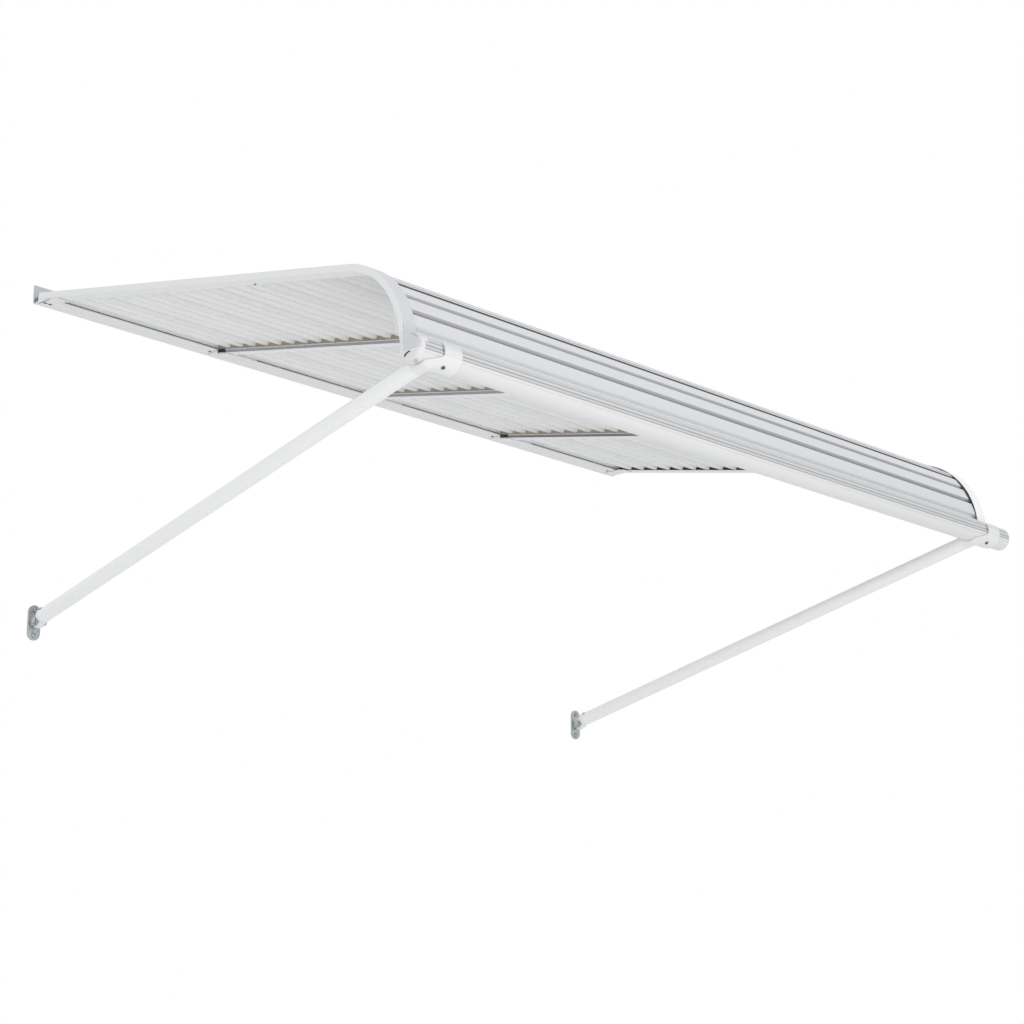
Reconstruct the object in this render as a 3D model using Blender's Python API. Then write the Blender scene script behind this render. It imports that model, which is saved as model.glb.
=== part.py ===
# Aluminium door canopy: a roll-formed roof on curved rafters, hinged on a wall rail
# and propped by two round arms that run from the front bar down to wall plates.
# World frame: metres, +X right along the wall, -Y away from the wall, +Z up.
# The origin is the middle of the wall rail's flat back face, level with its hinge line.

import math

import bmesh
import bpy
from mathutils import Vector

# Clearances between neighbours
GAP = 0.0003
RUN_GAP = 0.0005

# Modelling steps
SMOOTH = math.radians(30.0)
ARC_STEP = math.radians(15.0)
ROUND_SIDES = 32
BORE_SIDES = 48
HOLE_SIDES = 24
DRILL_SIDES = 16
SMALL_SIDES = 12
CUT_REACH = 0.010
LONG_CUT_REACH = 0.100

# Overall roof
ROOF_WIDTH = 1.530
RAFTER_COUNT = 5
ROOF_SLOPE = math.radians(11.24)
DROP_SLOPE = math.radians(81.0)
BEND_RADIUS = 0.145
ROOF_START_OUT = 0.0312
ROOF_START_Z = -0.0009
STRAIGHT_RUN = 0.8118
DROP_RUN = 0.0078
BEND_STEPS = 10

# Wall rail
RAIL_THICK = 0.0025
RAIL_TOP = 0.030
HINGE_OUT = 0.0065
KNUCKLE_OUTER = 0.0065
KNUCKLE_BORE = 0.0045
KNUCKLE_FROM = math.radians(-22.0)
KNUCKLE_TO = math.radians(84.0)
RAIL_SCREW_COUNT = 5
RAIL_SCREW_Z = 0.0225
RAIL_SCREW_MARGIN = 0.090

# Rear header
HEADER_REAR = 0.0150
HEADER_FRONT = 0.0470
HEADER_BOTTOM = -0.0075
HEADER_WALL = 0.0016
HEADER_LIP = 0.0025
NECK_HALF = 0.0012

# Roof pans
PAN_COUNT = 6
FRONT_PAN_COVER = 0.1236
PAN_START = -0.0080
RIBS_PER_PAN = 4
RIB_DEPTH = 0.0065
GROOVE_HALF = 0.0051
GROOVE_FLOOR_HALF = 0.0032
SHEET = 0.0008
SEAM_LAP = 0.0050
SEAM_LIP = 0.0035
FRONT_PAN_ENTRY = 0.0070

# Rafters
END_RAFTER_WIDTH = 0.026
END_RAFTER_WALL = 0.0013
MID_RAFTER_WIDTH = 0.018
MID_RAFTER_DROP = 0.0020
MID_RAFTER_DEPTH = 0.0090
MID_RAFTER_FLANGE = 0.0012
MID_RAFTER_WEB = 0.0016
CLOSURE_WIDTH = 0.014
RAFTER_REAR_GAP = 0.0012

# Clips and collars
CLIP_THICK = 0.0018
CLIP_WIDTH = 0.026
REAR_CLIP_WIDTH = 0.018
CLIP_STEP = 0.0004
REAR_CLIP_REACH = 0.026
REAR_CLIP_BACK = 0.029
FOOT_CLIP_REACH = 0.030
FOOT_CLIP_TOP = math.radians(170.0)
FOOT_CLIP_BACK = math.radians(212.0)
FOOT_COLLAR_WIDTH = 0.012
COLLAR_WALL = 0.0024
FOOT_TANG_REACH = 0.036
FOOT_TANG_WIDTH = 0.016
FOOT_TANG_THICK = 0.0035
FOOT_TANG_FROM = math.radians(169.0)
FOOT_TANG_TO = math.radians(174.0)
SHOE_REACH = 0.024
SHOE_THICK = 0.0022
SHOE_TIP = math.radians(20.0)
COLLAR_FRONT = math.radians(72.0)
COLLAR_BACK = math.radians(180.0)
COLLAR_SCREW_ANGLE = math.radians(-66.0)

# Front bar
BAR_RADIUS = 0.0210
BAR_WALL = 0.0038
BAR_DROP = 0.0310
BAR_SHIFT = 0.0170
BAR_LEFT_OVERHANG = -0.0031
BAR_RIGHT_OVERHANG = 0.0345
BAR_RECESS_TOP = math.radians(30.0)
BAR_RECESS_FOOT = math.radians(0.0)
BAR_RECESS_DEPTH = 0.0022
BAR_GROOVES = (math.radians(-10.0), math.radians(-22.0))
BAR_GROOVE_HALF = math.radians(1.8)
BAR_GROOVE_DEPTH = 0.0009
BAR_SIDES = 40
BAR_NECK_WALL = 0.0016
BAR_NECK_TOP = 0.0300
BAR_NECK_LOW = 0.0060
BAR_NECK_INSET = 0.0060
BAR_MOUTH_DEPTH = 0.0085
BAR_CAP_THICK = 0.0025
BAR_CAP_PLUG = 0.010
BAR_PLUG_SHARE = 0.78

# Arms, from the wall plates up to the front bar
ARM_RADIUS = 0.0127
ARM_WALL = 0.0015
ARM_TOP_INSET = (0.032, 0.0645)
ARM_PLATE_INSET = (0.0372, 0.1225)
ARM_BELOW_BAR = 0.0148
ARM_WALL_Z = -0.5655
ARM_START_OUT = 0.0300
ARM_PLUG_LENGTH = 0.030
HOOK_WALL = 0.0030
HOOK_FRONT = math.radians(42.0)
HOOK_BACK = math.radians(-150.0)
HOOK_LEFT = -0.014
HOOK_LIP_LEFT = 0.020
HOOK_RIGHT = 0.056
HOOK_SWEEP_FROM = math.radians(-8.0)
HOOK_SWEEP_TO = math.radians(-62.0)
HOOK_STATIONS = 24
HOOK_SCREW_X = 0.026
HOOK_SCREW_ANGLE = math.radians(-58.0)
HOOK_NOSE_PAST = 0.004

# Wall plates and their pivots
PLATE_WIDTH = 0.025
PLATE_HEIGHT = 0.061
PLATE_THICK = 0.004
PLATE_HOLE_SPACING = 0.044
PLATE_END_STEPS = 12
PIVOT_OUT = 0.0160
PIVOT_Z = -0.5745
EAR_RADIUS = 0.0075
EAR_THICK = 0.0030
TONGUE_THICK = 0.0110
TONGUE_RADIUS = 0.0112
TONGUE_FROM = math.radians(105.0)
TONGUE_TO = math.radians(268.0)
TONGUE_LOW_SHARE = 0.94
TONGUE_HIGH_SHARE = 0.85
CAP_THICK = 0.0050
END_SCREW_ALONG = 0.006
END_SCREW_RADIUS = 0.0030
END_SCREW_HEIGHT = 0.0016
END_SCREW_DEPTH = 0.0055
END_SHANK_SHARE = 0.60
END_SCREW_LEAN = math.radians(48.0)
BOLT_RADIUS = 0.0030
BOLT_HEAD_RADIUS = 0.0055
BOLT_HEAD_HEIGHT = 0.0035
BOLT_TAIL = 0.0060
NUT_HEIGHT = 0.0045

# Screws
SCREW_RADIUS = 0.0022
SCREW_HEAD_RADIUS = 0.0042
SCREW_HEAD_HEIGHT = 0.0022
SET_SCREW_RADIUS = 0.0030
SET_SCREW_PROUD = 0.0022
SET_SHANK_SHARE = 0.70
SET_HEAD_SHARE = 1.30
HEAD_RIM_SHARE = 0.60
HEAD_TOP_SHARE = 0.62

# Values worked out from the ones above
HALF_WIDTH = ROOF_WIDTH / 2
RAFTER_PITCH = (ROOF_WIDTH - END_RAFTER_WIDTH) / (RAFTER_COUNT - 1)
HEADER_REACH = HALF_WIDTH - END_RAFTER_WIDTH - RUN_GAP
BEND_TURN = DROP_SLOPE - ROOF_SLOPE
BEND_RUN = BEND_RADIUS * BEND_TURN
RAFTER_END = STRAIGHT_RUN + BEND_RUN + DROP_RUN
PAN_LEVEL = GAP
CROWN_TOP = PAN_LEVEL + RIB_DEPTH + SHEET
SEAM_TOP = CROWN_TOP + GAP + SHEET
END_RAFTER_LOW = -GAP - END_RAFTER_WALL
END_RAFTER_TOP = SEAM_TOP + GAP + END_RAFTER_WALL
FRONT_PAN_END = RAFTER_END + FRONT_PAN_ENTRY
FRONT_PAN_START = FRONT_PAN_END - FRONT_PAN_COVER
PAN_COVER = (FRONT_PAN_START - PAN_START) / PAN_COUNT
RIB_PITCH = PAN_COVER / RIBS_PER_PAN
FRONT_RIB_PITCH = FRONT_PAN_COVER / RIBS_PER_PAN
BEAD_RADIUS = KNUCKLE_BORE - RUN_GAP
ARM_TOP_X = (-HALF_WIDTH + ARM_TOP_INSET[0], HALF_WIDTH - ARM_TOP_INSET[1])
ARM_PLATE_X = (-HALF_WIDTH + ARM_PLATE_INSET[0], HALF_WIDTH - ARM_PLATE_INSET[1])


def guide(run, lift):
    """Point (out, z) at a run along the rafters' top line and a lift off it."""
    if run <= STRAIGHT_RUN:
        slope = ROOF_SLOPE
        out = ROOF_START_OUT + run * math.cos(slope)
        z = ROOF_START_Z - run * math.sin(slope)
    else:
        out = ROOF_START_OUT + STRAIGHT_RUN * math.cos(ROOF_SLOPE)
        z = ROOF_START_Z - STRAIGHT_RUN * math.sin(ROOF_SLOPE)
        turn = min((run - STRAIGHT_RUN) / BEND_RADIUS, BEND_TURN)
        slope = ROOF_SLOPE + turn
        out += BEND_RADIUS * (math.sin(slope) - math.sin(ROOF_SLOPE))
        z -= BEND_RADIUS * (math.cos(ROOF_SLOPE) - math.cos(slope))
        rest = max(run - STRAIGHT_RUN - BEND_RUN, 0.0)
        out += rest * math.cos(slope)
        z -= rest * math.sin(slope)
    return out + lift * math.sin(slope), z + lift * math.cos(slope)


BAR_OUT, BAR_Z = guide(RAFTER_END + BAR_DROP, BAR_SHIFT)


def clear_scene():
    for old in list(bpy.data.objects):
        bpy.data.objects.remove(old, do_unlink=True)


def paint(name, colour, roughness, metallic):
    material = bpy.data.materials.new(name)
    material.use_nodes = True
    shader = material.node_tree.nodes["Principled BSDF"]
    shader.inputs["Base Color"].default_value = (*colour, 1.0)
    shader.inputs["Roughness"].default_value = roughness
    shader.inputs["Metallic"].default_value = metallic
    return material


def add_object(name, mesh, material, parent=None):
    obj = bpy.data.objects.new(name, mesh)
    bpy.context.scene.collection.objects.link(obj)
    own = material.copy()
    own.name = name + "_finish"
    obj.data.materials.append(own)
    if parent is not None:
        obj.parent = parent
        obj.matrix_parent_inverse = parent.matrix_world.inverted()
    return obj


def add_pivot(name, out, z, parent=None):
    pivot = bpy.data.objects.new(name, None)
    bpy.context.scene.collection.objects.link(pivot)
    pivot.location = (0.0, -out, z)
    if parent is not None:
        pivot.parent = parent
        pivot.matrix_parent_inverse = parent.matrix_world.inverted()
    bpy.context.view_layer.update()
    return pivot


def finish_mesh(name, bm, smooth_angle=None):
    bmesh.ops.recalc_face_normals(bm, faces=bm.faces)
    mesh = bpy.data.meshes.new(name)
    bm.to_mesh(mesh)
    bm.free()
    if smooth_angle is not None:
        mesh.shade_smooth()
        mesh.set_sharp_from_angle(angle=smooth_angle)
    return mesh


def extrude_profile(name, outline, left, right):
    """Solid of one outline of (out, z) points, run along X from left to right."""
    bm = bmesh.new()
    ends = []
    for x in (left, right):
        ends.append([bm.verts.new((x, -out, z)) for out, z in outline])
    count = len(outline)
    for i in range(count):
        j = (i + 1) % count
        bm.faces.new((ends[0][i], ends[0][j], ends[1][j], ends[1][i]))
    bm.faces.new(ends[0])
    bm.faces.new(list(reversed(ends[1])))
    return finish_mesh(name, bm, SMOOTH)


def offset_line(points, distance):
    """The open line moved sideways by a distance, with mitred corners."""
    result = []
    for i, (a, b) in enumerate(points):
        before = points[max(i - 1, 0)]
        after = points[min(i + 1, len(points) - 1)]
        first = Vector((a - before[0], b - before[1]))
        second = Vector((after[0] - a, after[1] - b))
        if first.length == 0.0:
            first = second
        if second.length == 0.0:
            second = first
        first.normalize()
        second.normalize()
        normal = Vector((-first.y - second.y, first.x + second.x)).normalized()
        reach = distance / max(normal.dot(Vector((-first.y, first.x))), 0.5)
        result.append((a + normal.x * reach, b + normal.y * reach))
    return result


def arc(centre, radius, start, end):
    """Points (out, z) on a circle, angles from straight out towards up."""
    steps = max(2, math.ceil(abs(end - start) / ARC_STEP))
    points = []
    for i in range(steps + 1):
        angle = start + (end - start) * i / steps
        points.append((centre[0] + radius * math.cos(angle), centre[1] + radius * math.sin(angle)))
    return points


def round_bar(name, start, end, radius, bore=0.0, sides=ROUND_SIDES):
    """Round bar, or a tube where a bore is given, between two points."""
    bm = bmesh.new()
    axis = (end - start).normalized()
    turn = axis.to_track_quat("Z", "Y").to_matrix()
    loops = []
    for centre in (start, end):
        for ring in (radius, bore):
            if ring == 0.0:
                loops.append(None)
                continue
            loop = []
            for i in range(sides):
                angle = 2 * math.pi * i / sides
                spoke = turn @ Vector((ring * math.cos(angle), ring * math.sin(angle), 0.0))
                loop.append(bm.verts.new(centre + spoke))
            loops.append(loop)
    outer_a, inner_a, outer_b, inner_b = loops
    for i in range(sides):
        j = (i + 1) % sides
        bm.faces.new((outer_a[i], outer_a[j], outer_b[j], outer_b[i]))
        if inner_a is not None:
            bm.faces.new((inner_a[i], inner_b[i], inner_b[j], inner_a[j]))
            bm.faces.new((outer_a[i], inner_a[i], inner_a[j], outer_a[j]))
            bm.faces.new((outer_b[i], outer_b[j], inner_b[j], inner_b[i]))
    if inner_a is None:
        bm.faces.new(outer_a)
        bm.faces.new(list(reversed(outer_b)))
    return finish_mesh(name, bm, SMOOTH)


def screw_mesh(name, seat, direction, head_radius, head_height, shank_radius, shank, sides=DRILL_SIDES):
    """Screw with a domed head; seat is where the head bears, direction points to the head."""
    bm = bmesh.new()
    axis = direction.normalized()
    turn = axis.to_track_quat("Z", "Y").to_matrix()
    steps = [(-shank, shank_radius), (0.0, shank_radius), (0.0, head_radius)]
    steps += [(head_height * HEAD_RIM_SHARE, head_radius), (head_height, head_radius * HEAD_TOP_SHARE)]
    loops = []
    for along, radius in steps:
        loop = []
        for i in range(sides):
            angle = 2 * math.pi * i / sides
            spoke = turn @ Vector((radius * math.cos(angle), radius * math.sin(angle), along))
            loop.append(bm.verts.new(seat + spoke))
        loops.append(loop)
    for lower, upper in zip(loops, loops[1:]):
        for i in range(sides):
            j = (i + 1) % sides
            bm.faces.new((lower[i], lower[j], upper[j], upper[i]))
    bm.faces.new(loops[0])
    bm.faces.new(list(reversed(loops[-1])))
    return finish_mesh(name, bm, SMOOTH)


def boolean(obj, tool_mesh, operation):
    """Boolean by a mesh, applied at once so that no tool object is left behind."""
    tool = bpy.data.objects.new(obj.name + "_tool", tool_mesh)
    tool.hide_render = True
    tool.display_type = "WIRE"
    bpy.context.scene.collection.objects.link(tool)
    cut = obj.modifiers.new(operation.lower(), "BOOLEAN")
    cut.operation = operation
    cut.solver = "EXACT"
    cut.object = tool
    depsgraph = bpy.context.evaluated_depsgraph_get()
    result = bpy.data.meshes.new_from_object(obj.evaluated_get(depsgraph))
    obj.modifiers.clear()
    obj.data = result
    bpy.data.objects.remove(tool, do_unlink=True)
    result.shade_smooth()
    result.set_sharp_from_angle(angle=SMOOTH)


# Wall rail and header

def rail_outline():
    centre = (HINGE_OUT, 0.0)
    meet = math.acos((RAIL_THICK - HINGE_OUT) / KNUCKLE_OUTER)
    outline = [(0.0, RAIL_TOP)]
    outline += arc(centre, KNUCKLE_OUTER, -math.pi, KNUCKLE_FROM)
    outline += arc(centre, KNUCKLE_BORE, KNUCKLE_FROM, KNUCKLE_TO - 2 * math.pi)
    outline += arc(centre, KNUCKLE_OUTER, KNUCKLE_TO, meet)
    outline.append((RAIL_THICK, RAIL_TOP))
    return outline


def rail_screw_places():
    reach = HALF_WIDTH - RAIL_SCREW_MARGIN
    return [-reach + 2 * reach * i / (RAIL_SCREW_COUNT - 1) for i in range(RAIL_SCREW_COUNT)]


def wall_drills(places):
    """Cutters square to the wall at (x, z) places, joined in one mesh."""
    bm = bmesh.new()
    for x, z in places:
        drill = round_bar("drill", Vector((x, CUT_REACH, z)), Vector((x, -CUT_REACH, z)),
                          SCREW_RADIUS + GAP, sides=DRILL_SIDES)
        bm.from_mesh(drill)
        bpy.data.meshes.remove(drill)
    return finish_mesh("drills", bm)


def build_rail(finish, screw_finish):
    mesh = extrude_profile("wall_hinge_rail", rail_outline(), -HALF_WIDTH, HALF_WIDTH)
    rail = add_object("wall_hinge_rail", mesh, finish)
    boolean(rail, wall_drills([(x, RAIL_SCREW_Z) for x in rail_screw_places()]), "DIFFERENCE")
    for number, x in enumerate(rail_screw_places(), 1):
        name = f"rail_screw_{number}"
        seat = Vector((x, -RAIL_THICK - GAP, RAIL_SCREW_Z))
        mesh = screw_mesh(name, seat, Vector((0, -1, 0)), SCREW_HEAD_RADIUS, SCREW_HEAD_HEIGHT,
                          SCREW_RADIUS, RAIL_THICK)
        add_object(name, mesh, screw_finish)


def roof_z(out, lift):
    """Height of the straight roof line, raised square to itself by a lift."""
    rise = (ROOF_START_OUT - out) * math.tan(ROOF_SLOPE)
    return ROOF_START_Z + rise + lift / math.cos(ROOF_SLOPE)


def header_outline():
    centre = (HINGE_OUT, 0.0)
    neck = math.asin(NECK_HALF / BEAD_RADIUS)
    inner_rear = HEADER_REAR + HEADER_WALL
    under_lip = CROWN_TOP + GAP
    over_lip = under_lip + HEADER_WALL
    outline = arc(centre, BEAD_RADIUS, neck, 2 * math.pi - neck)
    outline += [(HEADER_REAR, -NECK_HALF), (HEADER_REAR, HEADER_BOTTOM), (HEADER_FRONT, HEADER_BOTTOM)]
    outline += [(HEADER_FRONT, roof_z(HEADER_FRONT, -GAP))]
    outline += [(HEADER_FRONT - HEADER_LIP, roof_z(HEADER_FRONT - HEADER_LIP, -GAP))]
    outline += [(HEADER_FRONT - HEADER_LIP, HEADER_BOTTOM + HEADER_WALL)]
    outline += [(inner_rear, HEADER_BOTTOM + HEADER_WALL), (inner_rear, roof_z(inner_rear, under_lip))]
    outline += [(HEADER_FRONT, roof_z(HEADER_FRONT, under_lip))]
    outline += [(HEADER_FRONT, roof_z(HEADER_FRONT, over_lip))]
    outline += [(HEADER_REAR, roof_z(HEADER_REAR, over_lip)), (HEADER_REAR, NECK_HALF)]
    return outline


# Roof pans

def pan_line(start, end, pitch, lapped_front):
    """Underside line of one pan as (run, lift): a lipped rear edge, ribs, a lapped front edge."""
    ribs = round((end - start) / pitch)
    crown = PAN_LEVEL + RIB_DEPTH
    line = [(start + GAP, crown - SEAM_LIP), (start + GAP + SHEET, crown)]
    for rib in range(ribs):
        middle = start + (rib + 0.5) * pitch
        line += [(middle - GROOVE_HALF, crown), (middle - GROOVE_FLOOR_HALF, PAN_LEVEL)]
        line += [(middle + GROOVE_FLOOR_HALF, PAN_LEVEL), (middle + GROOVE_HALF, crown)]
        if rib < ribs - 1:
            line.append((middle + pitch / 2, crown))
    if lapped_front:
        step = SHEET + GAP
        line += [(end - 2 * step, crown), (end - step / 2, crown + step), (end + SEAM_LAP, crown + step)]
    else:
        line.append((end, crown))
    return line


def pan_outline(line):
    top = offset_line(line, SHEET)
    closed = line + list(reversed(top))
    return [guide(run, lift) for run, lift in closed]


def build_pans(finish, parent):
    reach = HALF_WIDTH - END_RAFTER_WALL - RUN_GAP
    for number in range(PAN_COUNT):
        start = PAN_START + number * PAN_COVER
        line = pan_line(start, start + PAN_COVER, RIB_PITCH, True)
        name = f"roof_pan_{number + 1}"
        add_object(name, extrude_profile(name, pan_outline(line), -reach, reach), finish, parent)
    line = pan_line(FRONT_PAN_START, FRONT_PAN_END, FRONT_RIB_PITCH, False)
    mesh = extrude_profile("front_pan", pan_outline(line), -reach, reach)
    add_object("front_pan", mesh, finish, parent)


# Rafters

def rafter_stations(rear, low):
    """Runs of a rafter's cross sections; its rear end's lowest point, at a lift, is at an out."""
    first = (rear - ROOF_START_OUT) / math.cos(ROOF_SLOPE) - low * math.tan(ROOF_SLOPE)
    stations = [first]
    stations += [STRAIGHT_RUN + BEND_RUN * i / BEND_STEPS for i in range(BEND_STEPS + 1)]
    stations.append(RAFTER_END)
    return stations


def sweep_rafter(name, section, rear):
    """Sweep a section of (x, lift) points along the rafter line."""
    bm = bmesh.new()
    loops = []
    low = min(lift for x, lift in section)
    for run in rafter_stations(rear, low):
        loop = []
        for x, lift in section:
            out, z = guide(run, lift)
            loop.append(bm.verts.new((x, -out, z)))
        loops.append(loop)
    count = len(section)
    for first, second in zip(loops, loops[1:]):
        for i in range(count):
            j = (i + 1) % count
            bm.faces.new((first[i], first[j], second[j], second[i]))
    bm.faces.new(loops[0])
    bm.faces.new(list(reversed(loops[-1])))
    return finish_mesh(name, bm, SMOOTH)


def end_rafter_section(side):
    """Slim channel: a top flange over the pans and a bottom flange under them."""
    outer = side * HALF_WIDTH
    inner = outer - side * END_RAFTER_WIDTH
    web = outer - side * END_RAFTER_WALL
    roof = END_RAFTER_TOP - END_RAFTER_WALL
    return [(outer, END_RAFTER_LOW), (inner, END_RAFTER_LOW), (inner, -GAP), (web, -GAP),
            (web, roof), (inner, roof), (inner, END_RAFTER_TOP), (outer, END_RAFTER_TOP)]


def mid_rafter_section(x):
    half = MID_RAFTER_WIDTH / 2
    web = MID_RAFTER_WEB / 2
    flange = MID_RAFTER_FLANGE
    low = -MID_RAFTER_DEPTH
    top = -MID_RAFTER_DROP
    return [(x - half, low), (x + half, low), (x + half, low + flange), (x + web, low + flange),
            (x + web, top - flange), (x + half, top - flange), (x + half, top), (x - half, top),
            (x - half, top - flange), (x - web, top - flange), (x - web, low + flange),
            (x - half, low + flange)]


def closure_section(x):
    """Foam strip between a middle rafter and the pans' ribs."""
    half = CLOSURE_WIDTH / 2
    low = GAP - MID_RAFTER_DROP
    return [(x - half, low), (x + half, low), (x + half, -GAP), (x - half, -GAP)]


def mid_rafter_places():
    return [(i - (RAFTER_COUNT - 1) / 2) * RAFTER_PITCH for i in range(1, RAFTER_COUNT - 1)]


def build_rafters(finish, foam_finish, parent):
    behind = HEADER_REAR + GAP
    before = HEADER_FRONT + RAFTER_REAR_GAP
    for name, side in (("end_rafter_left", -1), ("end_rafter_right", 1)):
        add_object(name, sweep_rafter(name, end_rafter_section(side), behind), finish, parent)
    for number, x in enumerate(mid_rafter_places(), 1):
        name = f"mid_rafter_{number}"
        add_object(name, sweep_rafter(name, mid_rafter_section(x), before), finish, parent)
        name = f"closure_strip_{number}"
        add_object(name, sweep_rafter(name, closure_section(x), before), foam_finish, parent)


def rear_clip_outline(low):
    """Folded strip under the header that runs on under a rafter's lowest face, at a lift."""
    under = HEADER_BOTTOM - GAP
    turn_out = HEADER_FRONT - CLIP_THICK
    drop_out = HEADER_FRONT + CLIP_STEP
    line = [(HEADER_FRONT - REAR_CLIP_BACK, under), (turn_out, under)]
    reach = drop_out + REAR_CLIP_REACH
    if roof_z(drop_out, low - GAP) < under:
        line += [(drop_out, roof_z(drop_out, low - GAP)), (reach, roof_z(reach, low - GAP))]
    else:
        meet = ROOF_START_OUT + (roof_z(ROOF_START_OUT, low - GAP) - under) / math.tan(ROOF_SLOPE)
        line += [(meet, under), (reach, roof_z(reach, low - GAP))]
    return line + list(reversed(offset_line(line, -CLIP_THICK)))


def foot_clip_outline():
    """Strip behind a middle rafter's foot that curls round the back of the front bar."""
    seat = BAR_RADIUS + GAP
    lift = -MID_RAFTER_DEPTH - GAP
    line = [guide(RAFTER_END - FOOT_CLIP_REACH * i / 3, lift) for i in (3, 2, 1, 0)]
    line += arc((BAR_OUT, BAR_Z), seat, FOOT_CLIP_TOP, FOOT_CLIP_BACK)
    return line + list(reversed(offset_line(line, -CLIP_THICK)))


def build_clips(finish, parent):
    middles = mid_rafter_places()
    rear = [(-HEADER_REACH, END_RAFTER_LOW, CLIP_WIDTH)]
    rear += [(x, -MID_RAFTER_DEPTH, REAR_CLIP_WIDTH) for x in middles]
    rear += [(HEADER_REACH, END_RAFTER_LOW, CLIP_WIDTH)]
    for number, (x, low, width) in enumerate(rear, 1):
        name = f"rear_clip_{number}"
        mesh = extrude_profile(name, rear_clip_outline(low), x - width / 2, x + width / 2)
        add_object(name, mesh, finish, parent)
    for number, x in enumerate(middles, 1):
        name = f"foot_clip_{number}"
        mesh = extrude_profile(name, foot_clip_outline(), x - CLIP_WIDTH / 2, x + CLIP_WIDTH / 2)
        add_object(name, mesh, finish, parent)


# Front bar and what sits on it

def bar_outline():
    """Round section with a slanted recess and fine grooves in front."""
    def place(radius, angle):
        return BAR_OUT + radius * math.cos(angle), BAR_Z + radius * math.sin(angle)

    deep = BAR_RADIUS - BAR_RECESS_DEPTH
    outline = [place(BAR_RADIUS, BAR_RECESS_TOP), place(deep, BAR_RECESS_FOOT)]
    outline.append(place(BAR_RADIUS, BAR_RECESS_FOOT))
    for middle in BAR_GROOVES:
        for turn, depth in ((1.0, 0.0), (0.5, BAR_GROOVE_DEPTH), (-0.5, BAR_GROOVE_DEPTH), (-1.0, 0.0)):
            outline.append(place(BAR_RADIUS - depth, middle + turn * BAR_GROOVE_HALF))
    start = BAR_GROOVES[-1] - BAR_GROOVE_HALF
    end = BAR_RECESS_TOP - 2 * math.pi
    outline += [place(BAR_RADIUS, start + (end - start) * i / BAR_SIDES) for i in range(1, BAR_SIDES)]
    return outline


def neck_outline():
    """Upright channel on the bar's back that holds the front pan's lower edge."""
    front = CROWN_TOP + RUN_GAP
    back = PAN_LEVEL - RUN_GAP
    top = RAFTER_END + BAR_DROP - BAR_NECK_TOP
    floor = top + BAR_MOUTH_DEPTH
    low = RAFTER_END + BAR_DROP - BAR_NECK_LOW
    line = [(low, front + BAR_NECK_WALL), (top, front + BAR_NECK_WALL), (top, front), (floor, front)]
    line += [(floor, back), (top, back), (top, back - BAR_NECK_WALL), (low, back - BAR_NECK_WALL)]
    return [guide(run, lift) for run, lift in line]


def collar_outline(start, end, wall):
    centre = (BAR_OUT, BAR_Z)
    seat = BAR_RADIUS + GAP
    return arc(centre, seat, start, end) + arc(centre, seat + wall, end, start)


def foot_tang_outline():
    """Tang that runs from the bar's back up behind an end rafter's foot."""
    centre = (BAR_OUT, BAR_Z)
    seat = BAR_RADIUS + GAP
    tang_out = PAN_LEVEL - RUN_GAP - BAR_NECK_WALL - RUN_GAP
    tang_in = tang_out - FOOT_TANG_THICK
    outline = arc(centre, seat, COLLAR_BACK, FOOT_TANG_FROM)
    outline += [guide(RAFTER_END, tang_out)]
    outline += [guide(RAFTER_END - FOOT_TANG_REACH * i / 4, tang_out) for i in range(1, 5)]
    outline += [guide(RAFTER_END - FOOT_TANG_REACH * i / 4, tang_in) for i in range(4, -1, -1)]
    outline += arc(centre, seat + COLLAR_WALL, FOOT_TANG_TO, COLLAR_BACK)
    return outline


def shoe_outline():
    """Front cover from an end rafter's foot down on to the bar's upper front."""
    centre = (BAR_OUT, BAR_Z)
    seat = BAR_RADIUS + GAP
    inside = END_RAFTER_TOP + RUN_GAP
    outside = inside + SHOE_THICK
    outline = [guide(RAFTER_END - SHOE_REACH, outside), guide(RAFTER_END - SHOE_REACH, inside)]
    outline.append(guide(RAFTER_END + RUN_GAP, inside))
    outline += arc(centre, seat, COLLAR_FRONT, SHOE_TIP)
    outline += arc(centre, seat + COLLAR_WALL, SHOE_TIP, COLLAR_FRONT)
    outline.append(guide(RAFTER_END, outside))
    return outline


def build_bar(finish, parent):
    left = -HALF_WIDTH - BAR_LEFT_OVERHANG
    right = HALF_WIDTH + BAR_RIGHT_OVERHANG
    reach = HALF_WIDTH - BAR_NECK_INSET
    bar = add_object("front_bar", extrude_profile("front_bar", bar_outline(), left, right), finish, parent)
    boolean(bar, extrude_profile("neck", neck_outline(), -reach, reach), "UNION")
    axis_point = Vector((0.0, -BAR_OUT, BAR_Z))
    start = axis_point + Vector((left - CUT_REACH, 0.0, 0.0))
    end = axis_point + Vector((right + CUT_REACH, 0.0, 0.0))
    boolean(bar, round_bar("bore", start, end, BAR_RADIUS - BAR_WALL, sides=BORE_SIDES), "DIFFERENCE")
    for name, x, side in (("bar_cap_left", left, -1), ("bar_cap_right", right, 1)):
        face = axis_point + Vector((x + side * GAP, 0.0, 0.0))
        outward = Vector((side * BAR_CAP_THICK, 0.0, 0.0))
        cap = round_bar(name, face, face + outward, BAR_RADIUS)
        obj = add_object(name, cap, finish, parent)
        plug = round_bar("plug", face + outward / 2, face - Vector((side * BAR_CAP_PLUG, 0.0, 0.0)),
                         BAR_RADIUS * BAR_PLUG_SHARE)
        boolean(obj, plug, "UNION")


def bar_spoke(angle):
    return Vector((0.0, -math.cos(angle), math.sin(angle)))


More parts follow.
